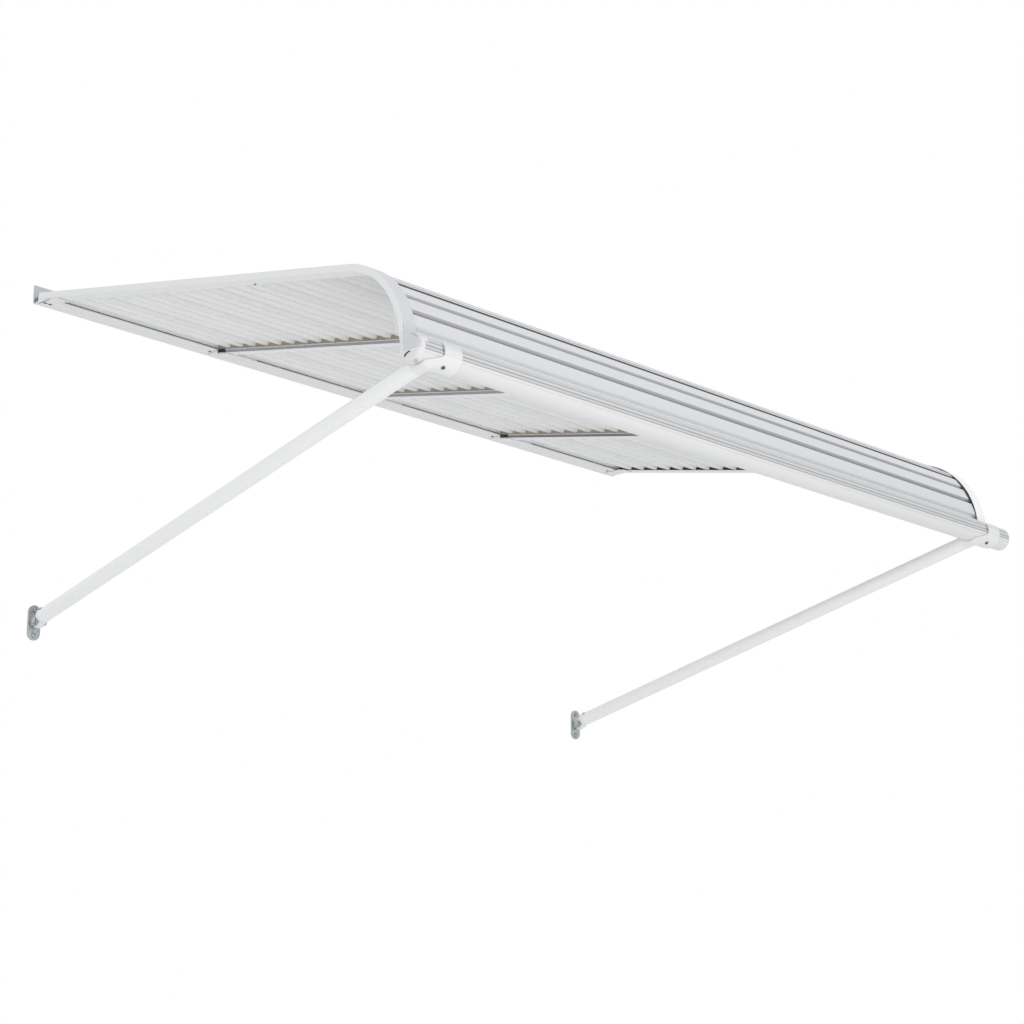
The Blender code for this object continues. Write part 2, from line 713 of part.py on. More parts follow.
def add_set_screw(name, carrier, x, angle, wall, finish, parent):
    """Screw square to the bar through a drilled hole in the piece that carries it."""
    spoke = bar_spoke(angle)
    centre = Vector((x, -BAR_OUT, BAR_Z))
    shank = SET_SCREW_RADIUS * SET_SHANK_SHARE
    outside = centre + spoke * (BAR_RADIUS + wall + CUT_REACH)
    drill = round_bar("drill", centre + spoke * BAR_RADIUS, outside, shank + GAP, sides=SMALL_SIDES)
    boolean(carrier, drill, "DIFFERENCE")
    seat = centre + spoke * (BAR_RADIUS + GAP + wall + GAP)
    mesh = screw_mesh(name, seat, spoke, SET_SCREW_RADIUS * SET_HEAD_SHARE, SET_SCREW_PROUD, shank, wall,
                      sides=SMALL_SIDES)
    return add_object(name, mesh, finish, parent)


def build_foot_collars(finish, screw_finish, parent):
    outer = HALF_WIDTH
    inner = HALF_WIDTH - FOOT_COLLAR_WIDTH
    ring = collar_outline(COLLAR_BACK - 2 * math.pi, COLLAR_FRONT, COLLAR_WALL)
    left = extrude_profile("foot_collar_left", ring, -outer, -inner)
    left = add_object("foot_collar_left", left, finish, parent)
    add_set_screw("foot_collar_left_screw", left, -(outer + inner) / 2, COLLAR_SCREW_ANGLE,
                  COLLAR_WALL, screw_finish, parent)
    tang_in = HALF_WIDTH - FOOT_TANG_WIDTH
    boolean(left, extrude_profile("tang", foot_tang_outline(), -outer, -tang_in), "UNION")
    boolean(left, extrude_profile("shoe", shoe_outline(), -outer, -inner), "UNION")
    right = extrude_profile("foot_collar_right", foot_tang_outline(), tang_in, outer)
    add_object("foot_collar_right", right, finish, parent)


# Arms

def arm_line(index):
    """Start and end of an arm's centre line, and the point on it below the bar's axis."""
    top_x = ARM_TOP_X[index]
    low_x = ARM_PLATE_X[index]
    flat = math.hypot(BAR_OUT - ARM_START_OUT, BAR_Z - ARM_WALL_Z)
    pitch = math.atan2(BAR_Z - ARM_WALL_Z, BAR_OUT - ARM_START_OUT) - math.asin(ARM_BELOW_BAR / flat)
    reach = math.sqrt(flat ** 2 - ARM_BELOW_BAR ** 2)
    below = Vector((top_x, -ARM_START_OUT - reach * math.cos(pitch), ARM_WALL_Z + reach * math.sin(pitch)))
    start = Vector((low_x, -ARM_START_OUT, ARM_WALL_Z))
    return start, below


def build_arm(side, index, finish, screw_finish, bare_finish, canopy):
    start, below = arm_line(index)
    axis = (below - start).normalized()
    pivot = add_pivot(f"arm_{side}_pivot", BAR_OUT, BAR_Z, canopy)
    hook_seat = BAR_RADIUS + GAP + HOOK_WALL
    setback = math.sqrt((hook_seat + GAP) ** 2 - (ARM_BELOW_BAR - ARM_RADIUS) ** 2)
    top = below - axis * setback

    name = f"arm_tube_{side}"
    tube = round_bar(name, start, top, ARM_RADIUS, ARM_RADIUS - ARM_WALL)
    tube = add_object(name, tube, finish, pivot)

    name = f"arm_hook_{side}"
    hook = add_object(name, saddle_mesh(name, below.x), finish, pivot)
    plug = ARM_RADIUS - ARM_WALL - GAP
    boolean(hook, round_bar("nose", top + axis * GAP, below + axis * HOOK_NOSE_PAST, ARM_RADIUS), "UNION")
    boolean(hook, round_bar("plug", top - axis * ARM_PLUG_LENGTH, below, plug), "UNION")
    bar_middle = Vector((below.x, -BAR_OUT, BAR_Z))
    reach = Vector((LONG_CUT_REACH, 0.0, 0.0))
    clear = round_bar("clear", bar_middle - reach, bar_middle + reach, BAR_RADIUS + GAP, sides=BORE_SIDES)
    boolean(hook, clear, "DIFFERENCE")
    add_set_screw(name + "_screw", hook, below.x + HOOK_SCREW_X, HOOK_SCREW_ANGLE, HOOK_WALL,
                  screw_finish, pivot)

    name = f"arm_end_{side}"
    swivel = Vector((start.x, -PIVOT_OUT, PIVOT_Z))
    cap = start - axis * (GAP + CAP_THICK / 2)
    across = Vector((0.0, axis.z, -axis.y)).normalized()
    end = add_object(name, tongue_mesh(name, swivel, cap, across), finish, pivot)
    boolean(end, round_bar("cap", start - axis * GAP, start - axis * (GAP + CAP_THICK), ARM_RADIUS), "UNION")
    boolean(end, round_bar("plug", start - axis * CAP_THICK, start + axis * ARM_PLUG_LENGTH, plug), "UNION")
    hole = round_bar("hole", swivel - reach, swivel + reach, BOLT_RADIUS + GAP, sides=HOLE_SIDES)
    boolean(end, hole, "DIFFERENCE")
    add_end_screw(side, tube, end, start, axis, screw_finish, pivot)

    plate_pivot = add_pivot(f"plate_{side}_pivot", PIVOT_OUT, PIVOT_Z, pivot)
    build_plate(side, swivel, finish, screw_finish, bare_finish, plate_pivot)


def saddle_mesh(name, arm_x):
    """Shell under the bar whose left edge sweeps from the front lip back to the arm."""
    bm = bmesh.new()
    inner = BAR_RADIUS + GAP
    outer = inner + HOOK_WALL
    loops = []
    for i in range(HOOK_STATIONS + 1):
        angle = HOOK_FRONT + (HOOK_BACK - HOOK_FRONT) * i / HOOK_STATIONS
        share = (angle - HOOK_SWEEP_FROM) / (HOOK_SWEEP_TO - HOOK_SWEEP_FROM)
        share = min(max(share, 0.0), 1.0)
        ease = share * share * (3.0 - 2.0 * share)
        left = arm_x + HOOK_LIP_LEFT + (HOOK_LEFT - HOOK_LIP_LEFT) * ease
        right = arm_x + HOOK_RIGHT
        loop = []
        for x, radius in ((left, inner), (right, inner), (right, outer), (left, outer)):
            spoke = bar_spoke(angle) * radius
            loop.append(bm.verts.new((x, -BAR_OUT + spoke.y, BAR_Z + spoke.z)))
        loops.append(loop)
    for first, second in zip(loops, loops[1:]):
        for i in range(4):
            j = (i + 1) % 4
            bm.faces.new((first[i], first[j], second[j], second[i]))
    bm.faces.new(loops[0])
    bm.faces.new(list(reversed(loops[-1])))
    return finish_mesh(name, bm, SMOOTH)


def add_end_screw(side, tube, end, start, axis, finish, parent):
    """Screw through the arm tube's wall into the plug of its end fitting."""
    spoke = Vector((-math.sin(END_SCREW_LEAN), 0.0, math.cos(END_SCREW_LEAN)))
    spoke = (spoke - axis * spoke.dot(axis)).normalized()
    spot = start + axis * END_SCREW_ALONG
    shank = END_SCREW_RADIUS * END_SHANK_SHARE
    inside = spot + spoke * (ARM_RADIUS - END_SCREW_DEPTH - GAP)
    outside = spot + spoke * (ARM_RADIUS + CUT_REACH)
    for carrier in (tube, end):
        drill = round_bar("drill", inside, outside, shank + GAP, sides=SMALL_SIDES)
        boolean(carrier, drill, "DIFFERENCE")
    name = f"arm_end_screw_{side}"
    mesh = screw_mesh(name, spot + spoke * (ARM_RADIUS + GAP), spoke, END_SCREW_RADIUS, END_SCREW_HEIGHT,
                      shank, END_SCREW_DEPTH, sides=SMALL_SIDES)
    add_object(name, mesh, finish, parent)


def tongue_mesh(name, swivel, cap, across):
    """Flat tongue from the arm's end cap to a round eye on the swivel."""
    half = TONGUE_THICK / 2
    eye = arc((PIVOT_OUT, PIVOT_Z), TONGUE_RADIUS, TONGUE_FROM, TONGUE_TO)
    low = cap - across * ARM_RADIUS * TONGUE_LOW_SHARE
    high = cap + across * ARM_RADIUS * TONGUE_HIGH_SHARE
    outline = eye + [(-low.y, low.z), (-high.y, high.z)]
    return extrude_profile(name, outline, swivel.x - half, swivel.x + half)


def plate_outline():
    """Upright plate with round ends, as (x, z) points about its middle."""
    radius = PLATE_WIDTH / 2
    straight = PLATE_HEIGHT / 2 - radius
    points = []
    for centre, start in ((straight, 0.0), (-straight, math.pi)):
        for i in range(PLATE_END_STEPS + 1):
            angle = start + math.pi * i / PLATE_END_STEPS
            points.append((radius * math.cos(angle), centre + radius * math.sin(angle)))
    return points


def build_plate(side, swivel, finish, screw_finish, bare_finish, pivot):
    name = f"wall_plate_{side}"
    bm = bmesh.new()
    loops = []
    for y in (0.0, -PLATE_THICK):
        loops.append([bm.verts.new((swivel.x + x, y, swivel.z + z)) for x, z in plate_outline()])
    count = len(loops[0])
    for i in range(count):
        j = (i + 1) % count
        bm.faces.new((loops[0][i], loops[0][j], loops[1][j], loops[1][i]))
    bm.faces.new(loops[0])
    bm.faces.new(list(reversed(loops[1])))
    plate = add_object(name, finish_mesh(name, bm, SMOOTH), bare_finish, pivot)
    ear_in = TONGUE_THICK / 2 + RUN_GAP
    ear = arc((PIVOT_OUT, PIVOT_Z), EAR_RADIUS, math.radians(-90.0), math.radians(90.0))
    ear += [(PLATE_THICK / 2, PIVOT_Z + EAR_RADIUS), (PLATE_THICK / 2, PIVOT_Z - EAR_RADIUS)]
    for inner, outer in ((-ear_in - EAR_THICK, -ear_in), (ear_in, ear_in + EAR_THICK)):
        boolean(plate, extrude_profile("ear", ear, swivel.x + inner, swivel.x + outer), "UNION")
    reach = Vector((LONG_CUT_REACH, 0.0, 0.0))
    hole = round_bar("hole", swivel - reach, swivel + reach, BOLT_RADIUS + GAP, sides=HOLE_SIDES)
    boolean(plate, hole, "DIFFERENCE")
    top = swivel.z + PLATE_HOLE_SPACING / 2
    bottom = swivel.z - PLATE_HOLE_SPACING / 2
    boolean(plate, wall_drills([(swivel.x, top), (swivel.x, bottom)]), "DIFFERENCE")
    for spot, z in (("top", top), ("bottom", bottom)):
        screw_name = f"plate_screw_{side}_{spot}"
        mesh = screw_mesh(screw_name, Vector((swivel.x, -PLATE_THICK - GAP, z)), Vector((0, -1, 0)),
                          SCREW_HEAD_RADIUS, SCREW_HEAD_HEIGHT, SCREW_RADIUS, PLATE_THICK)
        add_object(screw_name, mesh, screw_finish, pivot)
    half = ear_in + EAR_THICK
    head = swivel + Vector((-half - GAP, 0.0, 0.0))
    mesh = screw_mesh(f"pivot_bolt_{side}", head, Vector((-1, 0, 0)), BOLT_HEAD_RADIUS, BOLT_HEAD_HEIGHT,
                      BOLT_RADIUS, 2 * half + 2 * GAP + BOLT_TAIL, sides=HOLE_SIDES)
    add_object(f"pivot_bolt_{side}", mesh, screw_finish, pivot)
    nut_face = swivel + Vector((half + GAP, 0.0, 0.0))
    nut = round_bar(f"pivot_nut_{side}", nut_face, nut_face + Vector((NUT_HEIGHT, 0.0, 0.0)),
                    BOLT_HEAD_RADIUS, BOLT_RADIUS + GAP, sides=HOLE_SIDES)
    add_object(f"pivot_nut_{side}", nut, screw_finish, pivot)


def build_canopy():
    clear_scene()
    white = paint("white_aluminium", (0.80, 0.81, 0.82), 0.38, 0.1)
    mill = paint("rail_aluminium", (0.62, 0.63, 0.65), 0.42, 0.6)
    zinc = paint("zinc_steel", (0.55, 0.55, 0.56), 0.40, 0.9)
    foam = paint("black_foam", (0.03, 0.03, 0.03), 0.85, 0.0)
    build_rail(mill, zinc)
    canopy = add_pivot("canopy_pivot", HINGE_OUT, 0.0)
    header = extrude_profile("rear_header", header_outline(), -HEADER_REACH, HEADER_REACH)
    add_object("rear_header", header, white, canopy)
    build_pans(white, canopy)
    build_rafters(white, foam, canopy)
    build_clips(white, canopy)
    build_bar(white, canopy)
    build_foot_collars(white, zinc, canopy)
    build_arm("left", 0, white, zinc, zinc, canopy)
    build_arm("right", 1, white, zinc, zinc, canopy)


build_canopy()
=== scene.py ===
# Looks of the aluminium door canopy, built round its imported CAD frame.
# Metres, +X right along the wall, -Y away from the wall, +Z up.

import math
from functools import partial

import bmesh
import bpy
from mathutils import Matrix, Vector


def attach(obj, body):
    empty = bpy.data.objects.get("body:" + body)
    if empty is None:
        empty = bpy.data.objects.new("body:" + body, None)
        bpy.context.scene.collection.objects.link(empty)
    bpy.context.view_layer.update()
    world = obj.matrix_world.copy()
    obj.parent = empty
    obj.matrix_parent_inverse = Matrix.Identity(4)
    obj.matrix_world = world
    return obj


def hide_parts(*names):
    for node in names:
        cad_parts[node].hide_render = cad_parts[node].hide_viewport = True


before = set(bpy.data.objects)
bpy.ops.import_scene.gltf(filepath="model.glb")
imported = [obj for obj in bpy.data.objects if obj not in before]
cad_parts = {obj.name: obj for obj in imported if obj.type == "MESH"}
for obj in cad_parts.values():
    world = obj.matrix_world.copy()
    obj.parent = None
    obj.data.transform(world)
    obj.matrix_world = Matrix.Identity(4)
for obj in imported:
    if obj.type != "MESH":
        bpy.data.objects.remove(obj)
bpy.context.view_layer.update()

# Modelling
GAP = 0.0003
RUN_GAP = 0.0005
SMOOTH = math.radians(32.0)
CAST_SMOOTH = math.radians(60.0)
SOFT_ANGLE = math.radians(35.0)
FINE_ROUND = 0.0003
EDGE_ROUND = 0.0005
CHANNEL_ROUND = 0.0006
WELD = 0.000005
PAN_WELD = 0.00002
CORNER_TURNS = (math.radians(5.0), math.radians(165.0))
CORNER_SHARE = 0.45
ARC_STEP = math.radians(5.0)
CAST_EASE = 0.5
CORNER_STEPS = 3
BEND_STEPS = 40
BAR_STEPS = 90
SADDLE_STEPS = 96
WEDGE_STEPS = 48
CLOSURE_STEPS = 900
PAN_ROWS = 420
ROUND_SIDES = 64
SCREW_SIDES = 28
DRILL_SIDES = 24

# Roof line
ROOF_WIDTH = 1.530
HALF_WIDTH = ROOF_WIDTH / 2
RAFTER_COUNT = 5
ROOF_SLOPE = math.radians(11.24)
DROP_SLOPE = math.radians(81.0)
BEND_RADIUS = 0.145
BEND_TURN = DROP_SLOPE - ROOF_SLOPE
BEND_RUN = BEND_RADIUS * BEND_TURN
ROOF_START_OUT = 0.0312
ROOF_START_Z = -0.0009
STRAIGHT_RUN = 0.8118
DROP_RUN = 0.0078
RAFTER_END = STRAIGHT_RUN + BEND_RUN + DROP_RUN

# Wall rail and header
RAIL_THICK = 0.0025
RAIL_TOP = 0.030
RAIL_PAINT_TOP = -0.0005
RAIL_END_FACING = 0.5
RAIL_SCREW_COUNT = 5
RAIL_SCREW_Z = 0.0225
RAIL_SCREW_MARGIN = 0.090
HINGE_OUT = 0.0065
KNUCKLE_OUTER = 0.0065
KNUCKLE_BORE = 0.0045
KNUCKLE_FROM = math.radians(-22.0)
KNUCKLE_TO = math.radians(84.0)
HEADER_REAR = 0.0150
HEADER_FRONT = 0.0470
HEADER_BOTTOM = -0.0075
HEADER_WALL = 0.0016
HEADER_LIP = 0.0025
HEADER_GROOVES = (0.30, 0.62)
HEADER_GROOVE = ((-0.0007, 0.0), (-0.0004, 0.0006), (0.0004, 0.0006), (0.0007, 0.0))
NECK_HALF = 0.0012
BEAD_RADIUS = KNUCKLE_BORE - RUN_GAP
# Black strip of painted shadow in the gap between the header and the first pan
GAP_SHADOW_OUTS = (HEADER_FRONT + 0.0002, HEADER_FRONT + 0.0010)
GAP_SHADOW_LIFTS = (-0.0013, -0.0002)
GAP_SHADOW_INSETS = (0.006, 0.004)
GAP_SHADOW_BREAK = (0.012, 0.085)

# Roof pans
PAN_COUNT = 6
FRONT_PAN_COVER = 0.1236
FRONT_PAN_ENTRY = 0.0070
PAN_START = -0.0080
RIBS_PER_PAN = 4
RIB_DEPTH = 0.0065
GROOVE_FLOOR = 0.0032
GROOVE_HALF = 0.0051
# Offsets across a groove for its painted shade, and the one dark painted line in the lowest groove
GROOVE_SHADE = -0.0036
GROOVE_PAINT_HALF = GROOVE_HALF + 0.0001
LOW_GROOVE_LINE = (0.0018, 0.0038)
SHEET = 0.0008
SEAM_LAP = 0.0050
SEAM_LIP = 0.0035
PAN_LEVEL = GAP
CROWN_TOP = PAN_LEVEL + RIB_DEPTH + SHEET
SEAM_TOP = CROWN_TOP + GAP + SHEET
FRONT_PAN_END = RAFTER_END + FRONT_PAN_ENTRY
FRONT_PAN_START = FRONT_PAN_END - FRONT_PAN_COVER
PAN_COVER = (FRONT_PAN_START - PAN_START) / PAN_COUNT
RIB_PITCH = PAN_COVER / RIBS_PER_PAN
FRONT_RIB_PITCH = FRONT_PAN_COVER / RIBS_PER_PAN
# Black strip of painted shadow in the front pan's first groove
SEAM_SHADOW_CURVE = ((-0.0030, PAN_LEVEL + SHEET), (0.0030, PAN_LEVEL + SHEET),
               (0.0042, CROWN_TOP - 0.0006), (-0.0016, CROWN_TOP + 0.0002))
# Black wedge of painted shadow at the far end rafter's lip
WEDGE_FROM = FRONT_PAN_START + 0.006
WEDGE_TO = RAFTER_END - 0.012
WEDGE_WIDTH = 0.0070
WEDGE_LEAST = 0.0002
WEDGE_CURVE = 1.4
WEDGE_TUCK = 0.002
WEDGE_LIFTS = (CROWN_TOP + 0.0002, CROWN_TOP + 0.0008)

# Rafters
END_RAFTER_WIDTH = 0.026
END_RAFTER_WALL = 0.0013
END_RAFTER_LOW = -GAP - END_RAFTER_WALL
END_RAFTER_TOP = SEAM_TOP + GAP + END_RAFTER_WALL
END_RAFTER_IN = HALF_WIDTH - END_RAFTER_WIDTH
HEADER_REACH = END_RAFTER_IN - RUN_GAP
PAN_REACH = HALF_WIDTH - END_RAFTER_WALL - RUN_GAP
MID_RAFTER_WIDTH = 0.018
MID_WEB_SEEN = 0.0156
MID_TOP_SEEN = 0.0016
MID_TOP_FLANGE = 0.0015
MID_LOW_FLANGE = 0.0008
MID_RAFTER_DEPTH = 0.0090
# Faces of the middle rafters' webs that get painted shade
WEB_SHADE_REACH = 0.0004
WEB_FACING = 0.7
# Front faces of the end rafters, for their painted shade and painted highlight
FRONT_FACING = -0.35
RAFTER_REAR_GAP = 0.0012
RAFTER_SCREW_RUN = 0.563
RAFTER_SCREW_X = 0.0225
RAFTER_SCREW_DEPTH = 0.0006
RAFTER_PITCH = (ROOF_WIDTH - END_RAFTER_WIDTH) / (RAFTER_COUNT - 1)
MID_RAFTERS = [(i - (RAFTER_COUNT - 1) / 2) * RAFTER_PITCH for i in range(1, RAFTER_COUNT - 1)]
# Dark strips of painted shade in the gaps between the pans and the rafters
CLOSURE_HALF = 0.0080
CLOSURE_LEAST = 0.0003
END_CLOSURE_HALF = 0.003
END_CLOSURE_X = END_RAFTER_IN + 0.0036

# Clips, and dark marks of painted shade beside them
CLIP_THICK = 0.0018
CLIP_WIDTH = 0.026
REAR_CLIP_WIDTH = 0.018
CLIP_STEP = 0.0004
REAR_CLIP_REACH = 0.026
REAR_CLIP_BACK = 0.029
FOOT_CLIP_REACH = 0.030
FOOT_CLIP_TOP = math.radians(170.0)
FOOT_CLIP_BACK = math.radians(212.0)
# Dark marks of painted shade under the header and in the middle rafters' open rear ends
SHADE_MARK_OUTS = (0.0285, 0.0330)
SHADE_MARK_DROP = 0.0004
SHADE_MARK_WIDTH = 0.0050
SHADE_MARK_BEFORE = 0.0150
LAST_SHADE_MARK_INSET = 0.020
CORNER_SHADE_MARKS = ((0.0045, 0.0070), (0.0150, 0.0060))
BLOCK_OUTS = (HEADER_REAR + 0.0006, HEADER_FRONT + 0.0030)
BLOCK_RAISE = 0.0006
BLOCK_WIDTH = CLIP_WIDTH - 0.001
OPEN_END_OUTS = (HEADER_FRONT + 0.0014, HEADER_FRONT + 0.0214)
OPEN_END_LIFTS = (-0.0076, -0.0016)
OPEN_END_X = (0.0092, 0.0084)


def guide(run, lift):
    """Point (out, z) at a run along the rafters' top line and a lift off it."""
    slope = ROOF_SLOPE + min(max((run - STRAIGHT_RUN) / BEND_RADIUS, 0.0), BEND_TURN)
    flat = min(run, STRAIGHT_RUN)
    rest = max(run - STRAIGHT_RUN - BEND_RUN, 0.0)
    out = ROOF_START_OUT + flat * math.cos(ROOF_SLOPE) + rest * math.cos(slope)
    out += BEND_RADIUS * (math.sin(slope) - math.sin(ROOF_SLOPE))
    z = ROOF_START_Z - flat * math.sin(ROOF_SLOPE) - rest * math.sin(slope)
    z -= BEND_RADIUS * (math.cos(ROOF_SLOPE) - math.cos(slope))
    return out + lift * math.sin(slope), z + lift * math.cos(slope)


# Front bar
BAR_RADIUS = 0.0210
BAR_SEAT = BAR_RADIUS + GAP
BAR_WALL = 0.0038
BAR_DROP = 0.0310
BAR_SHIFT = 0.0170
BAR_LEFT = -HALF_WIDTH + 0.0075
BAR_RIGHT = HALF_WIDTH + 0.0345 - 0.0070
# Painted shade on the bar's front: a darker band, and darker lines in it
BAR_BAND = (math.radians(-6.0), math.radians(62.0))
BAR_LINES = [math.radians(angle) for angle in (42.0, 27.0, 9.0, -7.0)]
BAR_LINE_HALF = math.radians(1.6)
BAR_RECESS_TOP = math.radians(30.0)
BAR_RECESS_FOOT = math.radians(0.0)
BAR_RECESS_DEPTH = 0.0022
BAR_RECESS_STEPS = 10
BAR_GROOVES = (math.radians(-10.0), math.radians(-22.0))
BAR_GROOVE_HALF = math.radians(1.8)
BAR_GROOVE_DEPTH = 0.0009
BAR_GROOVE_CURVE = ((1.0, 0.0), (0.7, 0.9), (0.3, 1.0), (-0.3, 1.0), (-0.7, 0.9), (-1.0, 0.0))
BAR_NECK_WALL = 0.0016
BAR_NECK_TOP = 0.0300
BAR_NECK_LOW = 0.0060
BAR_NECK_INSET = 0.0060
BAR_MOUTH_DEPTH = 0.0085
BAR_CUT_REACH = 0.01
BAR_CAP_CURVE = ((0.0, 0.98), (0.0004, 1.0), (0.0016, 1.0), (0.0022, 0.97), (0.0025, 0.92))

BAR_OUT, BAR_Z = guide(RAFTER_END + BAR_DROP, BAR_SHIFT)
BAR_CENTRE = (BAR_OUT, BAR_Z)
LOW_GROOVE_Z = guide(FRONT_PAN_START + 3.0 * FRONT_RIB_PITCH, 0.0)[1]

# Castings
FOOT_WIDTH = 0.012
FOOT_WALL = 0.0024
FOOT_TANG = 0.036
FOOT_TANG_WIDTH = 0.016
FOOT_TANG_THICK = 0.0035
FOOT_FRONT = math.radians(72.0)
FOOT_BACK = math.radians(180.0)
TANG_TURNS = (math.radians(169.0), math.radians(174.0))
TANG_STEPS = 6
FOOT_SOFT = 0.0006
FOOT_CAST = (0.0006, 7)
FOOT_COVER = END_RAFTER_WIDTH * 0.75
FOOT_OVERLAP = 0.0002
CHEEK_RISE = 0.0004
FOOT_CUT_RISE = 0.0005
FOOT_CUT_DEPTH = 0.1
FOOT_CUT_SHORT = 0.001
# Front edges of the left foot casting that get painted shade
FOOT_LIP_LOW = BAR_Z - 0.004
FOOT_LIP_HIGH = BAR_Z + 0.014
FOOT_LIP_OUT = BAR_OUT - 0.013
FOOT_DOME_SEAT = 0.0007
FOOT_DOME = 0.0070
FOOT_DOME_CURVE = ((0.0, 0.0075), (0.0005, 0.0045), (0.0016, 0.0022), (0.0034, 0.0007), (0.0060, 0.0))
FOOT_CHEEK = math.radians(150.0)
FOOT_SCREW_ANGLE = math.radians(-66.0)
FOOT_EDGE = -HALF_WIDTH + 0.0052
# Black comma of painted shadow on the left foot casting
NOTCH_SHADOW_CURVE = ((-0.0098, -0.0125), (-0.0086, -0.0094), (-0.0042, -0.0068), (0.0012, -0.0059),
              (0.0034, -0.0072), (-0.0014, -0.0080), (-0.0050, -0.0098), (-0.0082, -0.0132))
NOTCH_SHADOW_DEPTH = 0.002
SHOE_REACH = 0.010
SHOE_THICK = 0.0013
SHOE_TIP = math.radians(20.0)
SADDLE_WALL = 0.0030
SADDLE_FRONT = math.radians(42.0)
SADDLE_BACK = math.radians(-150.0)
SADDLE_LEFT = -0.014
SADDLE_LIP_LEFT = 0.020
SADDLE_RIGHT = 0.056
SADDLE_SWEEP = (math.radians(-8.0), math.radians(-62.0))
SADDLE_SCREW_X = 0.026
SADDLE_SCREW_ANGLE = math.radians(-58.0)
# Angle that splits the painted shade on the saddle's top: darker above it, lighter below it
SADDLE_BAND = math.radians(14.0)
SADDLE_CAST = (0.0006, 9)
NOSE_CURVE = ((0.0, 0.0), (0.4, 0.0003), (0.8, 0.0010))
NOSE_DEPTH = 0.004
NOSE_FLARE = 0.0014

# Arms and wall plates
ARM_RADIUS = 0.0127
ARM_WALL = 0.0015
ARM_TOP_X = (-HALF_WIDTH + 0.032, HALF_WIDTH - 0.0645)
ARM_PLATE_X = (-HALF_WIDTH + 0.0372, HALF_WIDTH - 0.1225)
ARM_BELOW_BAR = 0.0148
ARM_WALL_Z = -0.5655
ARM_START_OUT = 0.0300
ARM_TUBE_ENTRY = 0.002
ARM_CAP_THICK = 0.005
ARM_END_CAST = (0.0004, 3)
ARM_SCREW_RISE = 0.006
ARM_SCREW_START = 0.007
ARM_SCREW_LEAN = math.radians(48.0)
PLATE_WIDTH = 0.025
PLATE_HEIGHT = 0.061
PLATE_THICK = 0.004
PLATE_HOLE_SPACING = 0.044
PLATE_STEP = math.radians(7.6)
PLATE_SOFT = 0.0005
PIVOT_OUT = 0.0160
PIVOT_Z = -0.5745
EAR_RADIUS = 0.0075
EAR_THICK = 0.0030
TONGUE_THICK = 0.0110
TONGUE_RADIUS = 0.0112
TONGUE_TURNS = (math.radians(105.0), math.radians(268.0))
TONGUE_CHORD = (0.94, 0.85)

# Screws as head radius, head height and shank radius, with their holes
WALL_SCREW = (0.0042, 0.0022, 0.0022)
RAFTER_SCREW = (0.0022, 0.0012, 0.0010)
FOOT_SCREW = (0.0039, 0.0022, 0.0021)
SADDLE_SCREW = (0.0034, 0.0022, 0.0021)
ARM_SCREW = (0.0030, 0.0016, 0.0018)
PIVOT_BOLT = (0.0055, 0.0035, 0.0030)
HEAD_CURVE = ((0.0, 0.97), (0.12, 1.0), (0.45, 0.97), (0.75, 0.80), (0.93, 0.52), (1.0, 0.2))
WALL_SCREW_HOLE = 0.0025
SADDLE_SCREW_HOLE = 0.0024
ARM_SCREW_HOLE = 0.0021
PIVOT_HOLE = 0.0033
PIVOT_HOLE_SIDES = 32
PIVOT_BOLT_TIP = 0.006
SCREW_RECESS = (1.05, 0.20, 1.1)
SCREW_RECESS_TURN = 0.3
SCREW_POINT = 0.1
PIVOT_NUT = ((0.0, 0.0050), (0.0004, 0.0055), (0.0041, 0.0055), (0.0045, 0.0050),
             (0.0045, PIVOT_HOLE), (0.0, PIVOT_HOLE))

ALONG = Vector((1.0, 0.0, 0.0))
AWAY = Vector((0.0, -1.0, 0.0))
CUT_ACROSS = ALONG * 0.1
DRILL_REACH = 0.02

# Finishes as noise scale, stretch along X, mottle, its share in the roughness, and bump
FINISHES = {
    "baked": (40.0, 1.0, 0.03, 0.5, 0.05),
    "sheet": (22.0, 0.06, 0.05, 0.6, 0.04),
    "underside": (22.0, 0.06, 0.02, 0.6, 0.04),
    "bar": (30.0, 0.1, 0.03, 0.5, 0.04),
    "tube": (30.0, 1.0, 0.02, 0.5, 0.04),
    "web": (30.0, 0.1, 0.05, 0.5, 0.05),
    "mill": (90.0, 0.05, 0.15, 0.5, 0.08),
    "zinc": (160.0, 1.0, 0.35, 0.6, 0.10),
    "pale_zinc": (160.0, 1.0, 0.2, 0.5, 0.08),
    "dark_zinc": (160.0, 1.0, 0.3, 0.6, 0.10),
}
FILM_GRAIN = 900.0
FILM_DEPTH = 0.0002

